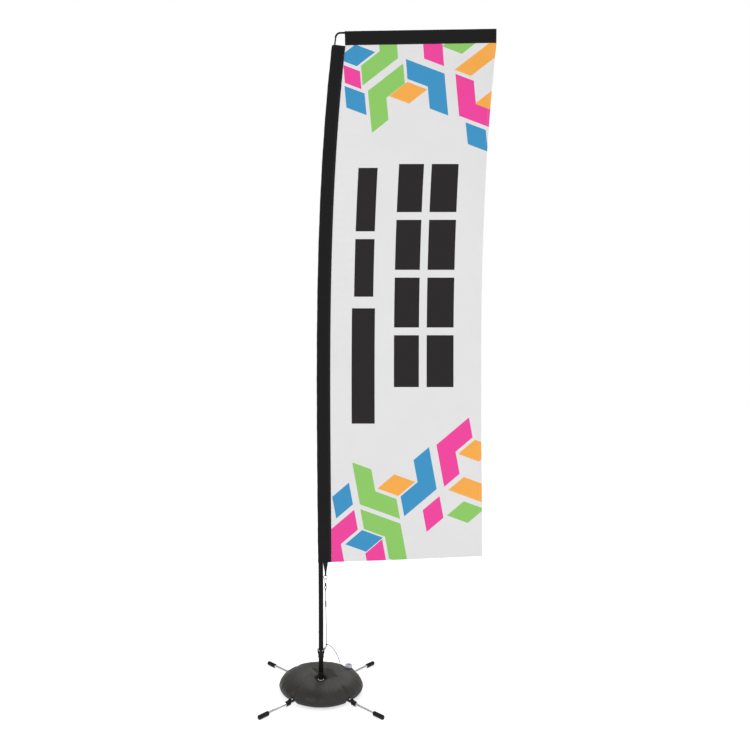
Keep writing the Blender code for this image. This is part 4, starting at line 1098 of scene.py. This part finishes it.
def add_bag_loop(side, mark, away):
    """Webbing loop of the bag round a leg: a slightly lumpy band, and a tab that runs up to the bag."""
    node = f"{side}_bag_loop_{mark}"
    outer = half_size(node, 2)
    centre = np.linalg.norm(middle(node)[:2])
    shape = ring_profile(LEG_RADIUS + GAP, outer, -LOOP_HALF, LOOP_HALF, 0.0005)
    band = lathe("bag_loop", shape, away * centre + [0, 0, LEG_HEIGHT], away, ROUND,
                 lambda angle, run: 1 + 0.006 * np.sin(3 * angle + 40 * run))
    top = LEG_HEIGHT + outer
    slope = np.array([(centre + 0.010, top - 0.0004), (centre, top), (centre - 0.009, top + 0.0008),
                      (centre - 0.0145, top + 0.0050), (centre - 0.0175, top + 0.0105)])
    line = smooth_path(slope[:, :1] * away + slope[:, 1:] * UP, 8)
    tab = ribbon("bag_tab", line, np.full(len(line), 0.020), 0.0013, np.cross(away, UP))
    add_piece(f"{side}_loop_{mark}", joined("bag_loop", [band, tab]), "webbing", LEG_BODIES[side], node)


def add_legs():
    """Lower bar straight, upper bar bridged over it; a cap and a loop on each leg."""
    rise = high("upper_leg_bar")[2] - LEG_RADIUS - LEG_HEIGHT
    for side, turn in LEG_TURNS.items():
        along = np.array([math.cos(turn), math.sin(turn), 0])
        reach = np.linalg.norm(high(side + "_leg_bar")[:2]) - LEG_RADIUS
        if side == "lower":
            shape = ring_profile(LEG_RADIUS - WALL, LEG_RADIUS, -reach, reach, 0.0003)
            bar = lathe("lower_legs", shape, (0, 0, LEG_HEIGHT), along, 48)
        else:
            half = softened([(0, rise), (0.030, rise), (0.072, 0), (reach, 0)], 0.011, 8)
            route = np.concatenate([half[::-1] * [-1, 1], half[1:]])
            line = np.stack([route[:, 0] * along[0], route[:, 0] * along[1], route[:, 1] + LEG_HEIGHT], 1)
            line = np.concatenate([line[:1], resampled(line, 240)[1:-1], line[-1:]])
            bar = tube("upper_legs", line, LEG_RADIUS, 48)
        add_piece(side + "_legs", bar, "chrome", LEG_BODIES[side], side + "_leg_bar")
        for mark, sign in (("a", 1), ("b", -1)):
            add_leg_cap(side, mark, along * sign)
            add_bag_loop(side, mark, along * sign)


# ---- tension strap, ring, hook and cord ---------------------------------------------------------------
RING = middle("strap_ring")
RING_WIRE = half_size("strap_ring", 1)
RING_RADIUS = high("strap_ring")[2] - RING[2] - RING_WIRE
HOOK_TURN = math.radians(45)


def ribbon(name, line, widths, thickness, across=(1.0, 0, 0)):
    """A flat band carried along a line in the YZ plane: square edges slightly rounded, its map in metres."""
    line, across = np.array(line, float), np.array(across, float)
    ahead = np.gradient(line, axis=0)
    ahead /= np.linalg.norm(ahead, axis=1)[:, None]
    out = np.cross(across, ahead)
    turn = np.linspace(0, TAU, 33)
    wide, thick = squared(np.cos(turn), 0.35), squared(np.sin(turn), 0.45)
    section = (wide[None, :, None] * across * (np.array(widths) / 2)[:, None, None]
               + thick[None, :, None] * out[:, None] * thickness / 2)
    points = line[:, None] + section
    points[:, -1] = points[:, 0]
    points = np.concatenate([np.repeat(line[:1, None], 33, 1), points, np.repeat(line[-1:, None], 33, 1)])
    run = run_along(line)
    run = np.concatenate([run[:1], run, run[-1:]])
    return grid_mesh(name, points, together(wide * max(widths) / 2, run[:, None]))


def add_strap():
    """Webbing down from inside the side sleeve, through the ring and back, pinched where it holds the ring."""
    strap_low, strap_high = low("tension_strap"), high("tension_strap")
    thickness = 0.0014
    top, spread = strap_high[2], (strap_high[1] - strap_low[1]) / 2 - thickness / 2
    bend = RING[2] + RING_RADIUS
    turn = bend - strap_low[2] - thickness / 2
    leg = np.array([(spread, top), (spread, SLEEVE_FOOT - 0.002), (spread * 0.8, SLEEVE_FOOT - 0.018),
                    (turn * 1.15, bend + 0.016), (turn, bend)])
    arc = np.array([(turn * math.cos(a), bend - turn * math.sin(a)) for a in np.linspace(0, math.pi, 15)[1:-1]])
    route = np.concatenate([leg, arc, (leg * [-1, 1])[::-1]])
    line = resampled(np.stack([np.full(len(route), RING[0]), route[:, 0], route[:, 1]], 1), 120)
    rise = (line[:, 2] - bend - 0.010) / (SLEEVE_FOOT - 0.012 - bend)
    widths = 0.009 + 0.015 * smoothstep(rise)
    add_piece("strap", ribbon("strap", line, widths, thickness), "webbing", "rotor", "tension_strap")


def hoop(name, height, radius, wire):
    """A wire ring in the flag's plane, below the strap."""
    turn = np.linspace(0, TAU, 73)
    circle = np.stack([RING[0] + radius * np.cos(turn), 0 * turn, height + radius * np.sin(turn)], 1)
    return tube(name, circle, wire, 24, closed=True)


def add_hook():
    """Ring, snap hook with its gate, and the swivel barrel with its eye."""
    add_piece("ring", hoop("ring", RING[2], RING_RADIUS, RING_WIRE), "steel", "rotor", "strap_ring")

    wire = 0.0016
    side = np.array([math.cos(HOOK_TURN), math.sin(HOOK_TURN), 0])
    half = 0.0071
    hook_low, hook_high = low("snap_hook")[2], high("snap_hook")[2]
    sag = 0.0040
    base = hook_low + wire + sag
    bend = hook_high - wire - half
    bottom = [(half * math.cos(a), sag * math.sin(a)) for a in np.linspace(0, -math.pi, 21)]
    back = [(-half, (bend - base) / 2)]
    arch = [(half * math.cos(a), bend - base + half * math.sin(a)) for a in np.linspace(math.pi, 0, 25)]
    route = np.array(bottom + back + arch)
    line = np.array([RING[0], 0, base]) + route[:, :1] * side + route[:, 1:] * UP
    add_piece("hook", tube("hook", resampled(line, 110), wire, 24), "steel", "rotor", "snap_hook")

    gate_low, gate_high = low("hook_gate")[2], high("hook_gate")[2]
    foot = np.array([RING[0], 0, gate_low]) + half * side
    line = foot + UP * np.linspace(0, gate_high - gate_low, 24)[:, None]
    radii = 0.0012 * np.clip(0.45 + np.linspace(0, 8, 24), 0, 1)
    add_piece("gate", tube("gate", line, radii, 20, cap=False), "steel", "hook_gate", "hook_gate")

    outer, top = half_size("hook_swivel", 1), high("hook_swivel")[2]
    foot_z = top - 0.0150
    groove = ribbed(outer, 0.0006, [foot_z + 0.0055], 0.0007, 0.0031, 0.0038)
    shape = softened([(0, foot_z), (outer * 0.8, foot_z), (outer, foot_z + 0.0018)] + groove
                     + [(outer, top - 0.0018), (outer * 0.72, top), (0, top)], 0.0006)
    barrel = lathe("swivel", shape, (RING[0], 0, 0), segments=48)
    eye = 0.0062
    barrel = cut(barrel, hoop("eye", foot_z - eye, eye, wire), "UNION")
    add_piece("swivel", barrel, "black_plastic", "rotor", "hook_swivel")


def knot_mesh(name, centre, radius, across, along):
    """Overhand knot: a trefoil of cord, of this overall radius, square to the cord that it ends."""
    t = np.linspace(0, TAU, 121)
    curl = np.stack([(np.sin(t) + 2 * np.sin(2 * t)) / 3, (np.cos(t) - 2 * np.cos(2 * t)) / 3,
                     -np.sin(3 * t) * 0.62], 1)
    strand = across * 0.94
    path = centre + (curl * (radius - strand) * 1.12) @ axis_frame(along)
    return tube(name, path, strand, 18, closed=True)


CORD_RADIUS = 0.0017
EAR_LOOP = ((0.0290, 0, 0.2328), (0.0275, 0.0060, 0.2264), (0.0240, 0.0098, 0.2205), (0.0200, 0.0104, 0.2165),
            (0.0176, 0.0085, 0.2150), (0.0171, 0.0045, 0.2147), (0.0171, 0, 0.2147))      # half of it
TAIL_FROM_KNOT = ((0.0030, -0.0003, -0.0005), (0.0095, -0.0010, -0.0015), (0.0215, -0.0030, -0.0075),
                  (0.0340, -0.0055, -0.0190), (0.0445, -0.0075, -0.0325), (0.0550, -0.0090, -0.0515),
                  (0.0635, -0.0100, -0.0720))


def add_cord():
    """Cord from the swivel's eye to the collar's ear: knots, taped stretch, loop on the ears and loose tail."""
    top, foot = middle("cord_top_knot"), middle("cord_foot_knot")
    knot_radius = half_size("cord_foot_knot", 2)
    radius = CORD_RADIUS
    along = (foot - top) / np.linalg.norm(foot - top)
    start, end = top + along * (knot_radius * 0.55), foot - along * (knot_radius * 0.55)
    t = np.linspace(0, 1, 90)[:, None]
    main = start + (end - start) * t
    eye = low("hook_swivel")[2] + 0.0016
    reach = eye - top[2] + 0.0010
    turn = np.linspace(0, TAU, 49)
    sling = top + np.stack([0 * turn, 0.0036 * np.cos(turn), 0.0016 + (reach / 2) * (1 + np.sin(turn))], 1)
    knot = joined("top_knot", [knot_mesh("top_knot", top, knot_radius, radius, along),
                               tube("sling", sling, 0.0015, 18, closed=True)])
    top_knot = add_piece("top_knot", knot, "cord", "rotor", "cord_top_knot")
    line = add_piece("line", tube("line", main, radius, 24), "cord", "rotor", "tension_cord")
    knot = knot_mesh("foot_knot", foot, knot_radius, radius, along)
    foot_knot = add_piece("foot_knot", knot, "cord", "rotor", "cord_foot_knot")

    centre, outer = middle("cord_tape"), half_size("cord_tape", 1)
    length = high("cord_tape")[2] - low("cord_tape")[2] - 0.0004
    shape = softened([(radius + 0.0001, -length / 2), (outer - 0.0003, -length / 2), (outer, -length * 0.30),
                      (outer, length * 0.28), (outer - 0.0002, length / 2), (radius + 0.0001, length / 2),
                      (radius + 0.0001, -length / 2)], 0.0003)
    tape = lathe("tape", shape, centre, -along, 48,
                 lambda angle, run: 1 + 0.02 * np.sin(angle + TAU * run / 0.0095))
    wrap = add_piece("tape", tape, "black_plastic", "rotor", "cord_tape")

    tail_points = node_points("cord_tail")
    tail_end = tail_points[tail_points[:, 2] < tail_points[:, 2].min() + 0.002].mean(0)
    path = resampled(smooth_path([*(foot + TAIL_FROM_KNOT), tail_end], 12), 90)
    tail = add_piece("tail", tube("tail", path, radius, 24), "cord", "rotor", "cord_tail")

    loop = np.array(EAR_LOOP)
    loop = np.concatenate([loop, (loop * [1, -1, 1])[::-1][1:-1]])
    loop = tube("ear_loop", smooth_path(loop, 10, closed=True), 0.0014, 20, closed=True)
    ear_loop = add_piece("ear_loop", loop, "cord", "rotor", "cord_loop")

    def run(points):
        return float(np.linalg.norm(np.diff(points, axis=0), axis=1).sum())


# ---- water bag ----------------------------------------------------------------------------------------
BAG_EDGE = high("water_bag")[0]
VALVE = middle("valve_neck")
HOLE = 0.0275
CREST_AT = 0.112
ROOF_OVER_HUB = 0.0370
LEG_TOP = 0.0192
SWELL_CAP = 0.006             # the most that the filling may move a point
PLEATS = ((3.98, 0.050, 0.0060), (5.44, 0.050, 0.0060), (3.83, 0.030, 0.0030), (5.60, 0.030, 0.0028),
          (0.80, 0.060, 0.0050), (2.34, 0.060, 0.0050), (4.50, 0.026, 0.0016), (4.93, 0.024, 0.0014),
          (1.55, 0.030, 0.0018))   # angle, width and depth
DROOP = 0.0105                # lowest part of the underside
LOOP_AT, LOOP_CLEAR = 0.232, 0.017        # where the loops lie on the legs, and how far they keep the bag off
LOOP_ROOM, LEG_ROOM = 0.0104, 0.0086      # radius kept free about a loop and about a bare leg
HUB_REACH, HUB_ROOM = 0.088, 0.0364       # radius and height kept free over the hub
GROUND_ROOM = 0.0085
VALVE_SEAT = 0.0748           # the skin's height under the cap
BORE_ROOM = 0.0262            # radius kept free about the pole's foot
SHOULDER = 0.0585             # top of the hole's wall


def smoothstep(value):
    """0 below 0, 1 above 1, and a smooth rise between."""
    share = np.clip(value, 0, 1)
    return share * share * (3 - 2 * share)


def from_leg(angle):
    """Angle to the nearest of the four legs."""
    return np.abs(angle % (math.pi / 2) - math.pi / 4)


def bag_floor(r, angle):
    """Underside: it rests on the legs, droops between them and lifts over the hub."""
    off = r * np.sin(from_leg(angle))
    over_leg = smoothstep(1 - (off - 0.012) / 0.030)
    droop = DROOP + (LEG_TOP + 0.0010 - DROOP) * over_leg
    droop = droop + 0.0035 * smoothstep((r - 0.185) / 0.03) * over_leg
    return droop + (ROOF_OVER_HUB - droop) * smoothstep((0.106 - r) / 0.022)


def dent(angle, place, wide):
    """1 at an angle round the bag, falling away to either side."""
    turn = (angle - place + math.pi) % TAU - math.pi
    return np.exp(-(turn / wide) ** 2)


def bag_top(r, angle, edge, rim):
    """Upper skin: an ellipse from the crest to the rim, a round shoulder in to the hole, sunk along pleats."""
    out = np.clip((r - CREST_AT) / (edge - CREST_AT), 0, 1)
    back = np.clip((CREST_AT - r) / (CREST_AT - HOLE), 0, 1)
    crest = 0.0775 + 0.0012 * np.sin(2 * angle + 0.7) + 0.0008 * np.sin(5 * angle)
    z = rim + (crest - rim) * np.sqrt(1 - out ** 2)
    z = np.where(r < CREST_AT, crest - (crest - 0.0600) * (1 - np.sqrt(1 - back ** 2.4)), z)
    for place, wide, deep in PLEATS:
        z = z - deep * dent(angle, place, wide) * smoothstep((r - 0.125) / 0.075)
    return z


def bag_edge(angle):
    """The rim's radius: full between the legs, drawn in where a leg passes, most at the two front ones."""
    reach = BAG_EDGE - 0.0068 - 0.0022 * np.cos(4 * (angle - math.pi / 4)) + 0.0012 * np.sin(3 * angle + 0.8)
    for place, deep in ((3.97, 0.0070), (5.45, 0.0070), (0.80, 0.0040), (2.34, 0.0040)):
        reach = reach - deep * dent(angle, place, 0.055)
    return reach


def bag_rim(angle):
    """The rim's height: over the loops at the legs, lower between them."""
    return 0.0290 + 0.0045 * np.cos(4 * (angle - math.pi / 4))


def bag_mesh():
    """Closed ring of vinyl: hole wall, top, rim and underside as one section swept about the axis."""
    angle = np.linspace(0, TAU, 193)
    edge, rim = bag_edge(angle), bag_rim(angle)
    rows = []
    for share in np.linspace(0, 1, 45):
        r = HOLE + 0.002 + (edge - 0.004 - HOLE - 0.002) * share
        rows.append((r, bag_floor(r, angle)))
    rows.append((edge, rim - 0.002))
    for share in np.linspace(0, 1, 60):
        r = edge - (edge - HOLE - 0.003) * share ** 1.35
        rows.append((r, bag_top(r, angle, edge, rim)))
    for share in np.linspace(0.1, 1, 8):
        rows.append((np.full_like(angle, HOLE), SHOULDER - (SHOULDER - ROOF_OVER_HUB) * share + 0 * angle))
    rows.append(rows[0])
    r, z = np.array([row[0] for row in rows]), np.array([row[1] for row in rows])
    return grid_mesh("bag", np.stack([r * np.cos(angle), r * np.sin(angle), z], -1))


def filled(mesh):
    """The bag blown up a little by its water, as cloth under pressure, each point moved by at most the cap."""
    shell = stepped(mesh, "REMESH", mode="VOXEL", voxel_size=0.005)
    start = mesh_points(shell)
    swollen = stepped(shell, "CLOTH", range(1, 21), settings__quality=5, settings__mass=0.3,
                      settings__tension_stiffness=15.0, settings__bending_stiffness=0.8,
                      settings__use_pressure=True, settings__uniform_pressure_force=4.0,
                      settings__effector_weights__gravity=0.0, collision_settings__use_collision=False)
    bpy.context.scene.frame_set(1)
    moved = mesh_points(swollen) - start
    far = np.linalg.norm(moved, axis=1, keepdims=True)
    points = start + moved * np.minimum(1, SWELL_CAP / np.maximum(far, 1e-9))
    swollen.vertices.foreach_set("co", points.ravel())
    return stepped(swollen, "SUBSURF", levels=1, render_levels=1)


def settled(points):
    """Points of the bag kept clear of the legs, loops and hub, under the valve's cap and inside its rim."""
    x, y, z = points.T.copy()
    radius, angle = np.hypot(x, y), np.arctan2(y, x)
    z += np.where(z > 0.04, 0.0008 * np.sin(30 * x + 9 * y) * np.sin(26 * y - 11 * x), 0)
    gather = np.sin(27 * angle + 2.5 * np.sin(5 * angle)) * np.sin(11 * angle + 1.0)
    z += 0.0020 * gather * smoothstep((radius - 0.165) / 0.05) * (z > 0.026)
    under = z < 0.045
    off = radius * np.sin(from_leg(angle))
    bar = np.where(np.abs(radius - LOOP_AT) < LOOP_CLEAR, LOOP_ROOM, LEG_ROOM)
    over = 0.011 + np.sqrt(np.clip(bar ** 2 - off ** 2, 0, None))
    z = np.where(under & (off < bar), np.maximum(z, over + 0.0002), z)
    z = np.where(under & (radius < HUB_REACH), np.maximum(z, HUB_ROOM), z)
    z = np.maximum(z, GROUND_ROOM)
    beyond = VALVE * (1 + 0.018 / math.hypot(VALVE[0], VALVE[1]))
    past_valve = np.hypot(x - beyond[0], y - beyond[1])
    z += 0.0085 * np.exp(-(past_valve / 0.020) ** 2) * (z > 0.045)
    to_valve = np.hypot(x - VALVE[0], y - VALVE[1])
    seat = VALVE_SEAT + 0.006 * smoothstep((to_valve - 0.020) / 0.03)
    z = np.where((to_valve < 0.05) & (z > 0.045), np.minimum(z, seat), z)
    inward = np.clip(BAG_EDGE / np.maximum(radius, 1e-6), None, 1)
    outward = np.maximum(1, BORE_ROOM / np.maximum(radius, 1e-6))
    return np.stack([x * inward * outward, y * inward * outward, z], 1)


def vinyl_finish():
    """Thick grey-brown vinyl: fine leather grain and soft creases, with a painted highlight on the crease
    ridges and painted shade low on the bag.
    """
    made, t = new_finish("bag_vinyl", 0.46, Specular_IOR_Level=0.28)
    place = object_place(t)
    mottle = t.use(MOTTLE, Place=place, Drift_Size=7.0, Grain_Size=520.0)
    cells = t.node("ShaderNodeTexVoronoi", feature="DISTANCE_TO_EDGE")
    t.feed(cells.inputs["Vector"], place)
    cells.inputs["Scale"].default_value = 520.0
    grain = t.band(cells.outputs["Distance"], 0.0, 0.25)
    fold = t.noise(place, 16.0, 5.0, 0.5)
    base = t.mix(mottle["Drift"], srgb(44, 43, 40), srgb(60, 58, 54))
    _, _, height = t.split(place)
    # painted shade: darker towards the bag's underside, from 5 cm down to 2.2 cm
    base = t.mix(t.band(height, 0.050, 0.022), base, srgb(40, 40, 44))
    # painted highlight: paler on the raised ridges of the creases
    base = t.mix(t.times(t.band(fold, 0.62, 0.76), 0.2), base, srgb(84, 82, 77))
    rough = t.band(mottle["Drift"], 0, 1, 0.38, 0.56)
    return wired(made, t, base, rough, t.bump(grain, 0.25, 0.00018, t.bump(fold, 0.6, 0.004)))


def welt_line(skin):
    """The bag's own outermost line: for each angle its widest points, averaged with their neighbours."""
    radius, angle = np.hypot(skin[:, 0], skin[:, 1]), np.arctan2(skin[:, 1], skin[:, 0])
    count = 240
    slot = ((angle / TAU) % 1 * count).astype(int)
    found = []
    for k in range(count):
        here = np.nonzero(slot == k)[0]
        widest = here[np.argsort(radius[here])[-4:]]
        found.append((radius[widest].mean(), skin[widest, 2].mean()))
    found = np.array(found)
    for _ in range(4):
        found = (np.roll(found, 1, 0) + 2 * found + np.roll(found, -1, 0)) / 4
    turn = (np.arange(count) + 0.5) / count * TAU
    reach = found[:, 0] - 0.0006
    line = np.stack([reach * np.cos(turn), reach * np.sin(turn), found[:, 1]], 1)
    return np.concatenate([line, line[:1]])


def add_bag():
    """The bag with its welded rim, the valve's neck and the fluted cap."""
    vinyl = vinyl_finish()
    shape = bag_mesh()
    shape = filled(shape)
    skin = settled(mesh_points(shape))
    shape.vertices.foreach_set("co", skin.ravel())
    shape.update()
    neck_low, neck_high = low("valve_neck"), high("valve_neck")
    neck = half_size("valve_neck", 0)
    place = (VALVE[0], VALVE[1], 0)
    pocket = lathe("pocket", [(0, neck_low[2] - GAP), (neck + GAP, neck_low[2] - GAP), (neck + GAP, 0.13),
                              (0, 0.13)], place, segments=48)
    bag = add_piece("bag", cut(shape, pocket), "bag_vinyl", "base", "water_bag", finish=vinyl)
    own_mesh(bag)

    welt = tube("bag_welt", welt_line(skin), 0.0019, 14, closed=True)
    rim = add_piece("bag_welt", welt, "bag_vinyl", "base", finish=vinyl)
    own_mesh(rim)

    foot, head = neck_low[2], neck_high[2]
    bore, root = neck - 0.003, neck - 0.0006
    thread = ribbed(root, -0.0006, [foot + 0.0160 + 0.0022 * step for step in range(4)], 0.0006, 0.0011, 0.0017)
    shape = softened([(0, foot), (neck, foot), (neck, foot + 0.0150)] + thread
                     + [(root, head), (bore, head), (bore, foot + 0.0023), (0, foot + 0.0023)], 0.0002, 2)
    add_piece("valve", lathe("valve", shape, place, segments=ROUND), "white_plastic", "base", "valve_neck")

    cap = half_size("valve_cap", 0)
    foot, head = low("valve_cap")[2], high("valve_cap")[2]
    inner, ceiling = neck + GAP, neck_high[2] + GAP
    shape = softened([(0, head - 0.0020), (cap * 0.56, head - 0.0020), (cap * 0.62, head), (cap - 0.0016, head),
                      (cap, head - 0.0018), (cap, foot), (inner, foot), (inner, ceiling), (0, ceiling)],
                     0.0009, 4)

    def flutes(turn, height):
        return 1 - 0.018 * np.where(height < head - 0.0015, 1, 0) * (0.5 - 0.5 * np.cos(36 * turn)) ** 3

    add_piece("cap", lathe("cap", shape, place, segments=288, swell=flutes), "white_plastic", "valve_cap",
              "valve_cap", finish=cap_finish(place, cap))


def cap_finish(place, radius):
    """Off-white moulded cap, blue-grey in its sunk middle, with moulded ring marks."""
    made, t = new_finish("valve_cap_plastic", 0.34, Subsurface_Weight=0.08)
    x, y, _ = t.split(object_place(t))
    away = t.math("SQRT", t.plus(t.math("POWER", t.minus(x, place[0]), 2.0),
                                 t.math("POWER", t.minus(y, place[1]), 2.0)))
    mottle = t.use(MOTTLE, Place=object_place(t), Drift_Size=40.0, Grain_Size=1500.0)
    base = t.mix(mottle["Drift"], srgb(228, 226, 238), srgb(212, 210, 226))
    base = t.mix(t.band(away, radius * 0.60, radius * 0.57), base, srgb(122, 134, 158))
    rings = t.math("SINE", t.times(away, TAU / 0.0016))
    return wired(made, t, base, t.band(mottle["Grain"], 0, 1, 0.28, 0.42), t.bump(rings, 0.15, 0.00008))


# ---- everything in its place --------------------------------------------------------------------------
CARRIED = {"black_tube": ["pole_section_2", "pole_section_3"],
           "black_plastic": ["hub_foot", "pole_ferrule_1", "pole_ferrule_2", "pole_ferrule_3"],
           "steel": ["bearing_balls", "bearing_inner_race", "bearing_outer_race", "clamp_bolt", "rotor_tube",
                     "spindle", "spindle_clip"],
           "nylon": ["spindle_bush"]}


def main():
    """The view and its light, every piece, and the finishes of the CAD nodes that stay."""
    for step in (add_camera, add_studio, add_panel, add_side_sleeve, add_top_sleeve, add_pole, add_rod, add_hub,
                 add_collar, add_legs, add_strap, add_hook, add_cord, add_bag):
        step()
    for slot, nodes in CARRIED.items():
        for node in nodes:
            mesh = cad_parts[node].data
            mesh.materials.clear()
            mesh.materials.append(FINISHES[slot])


main()
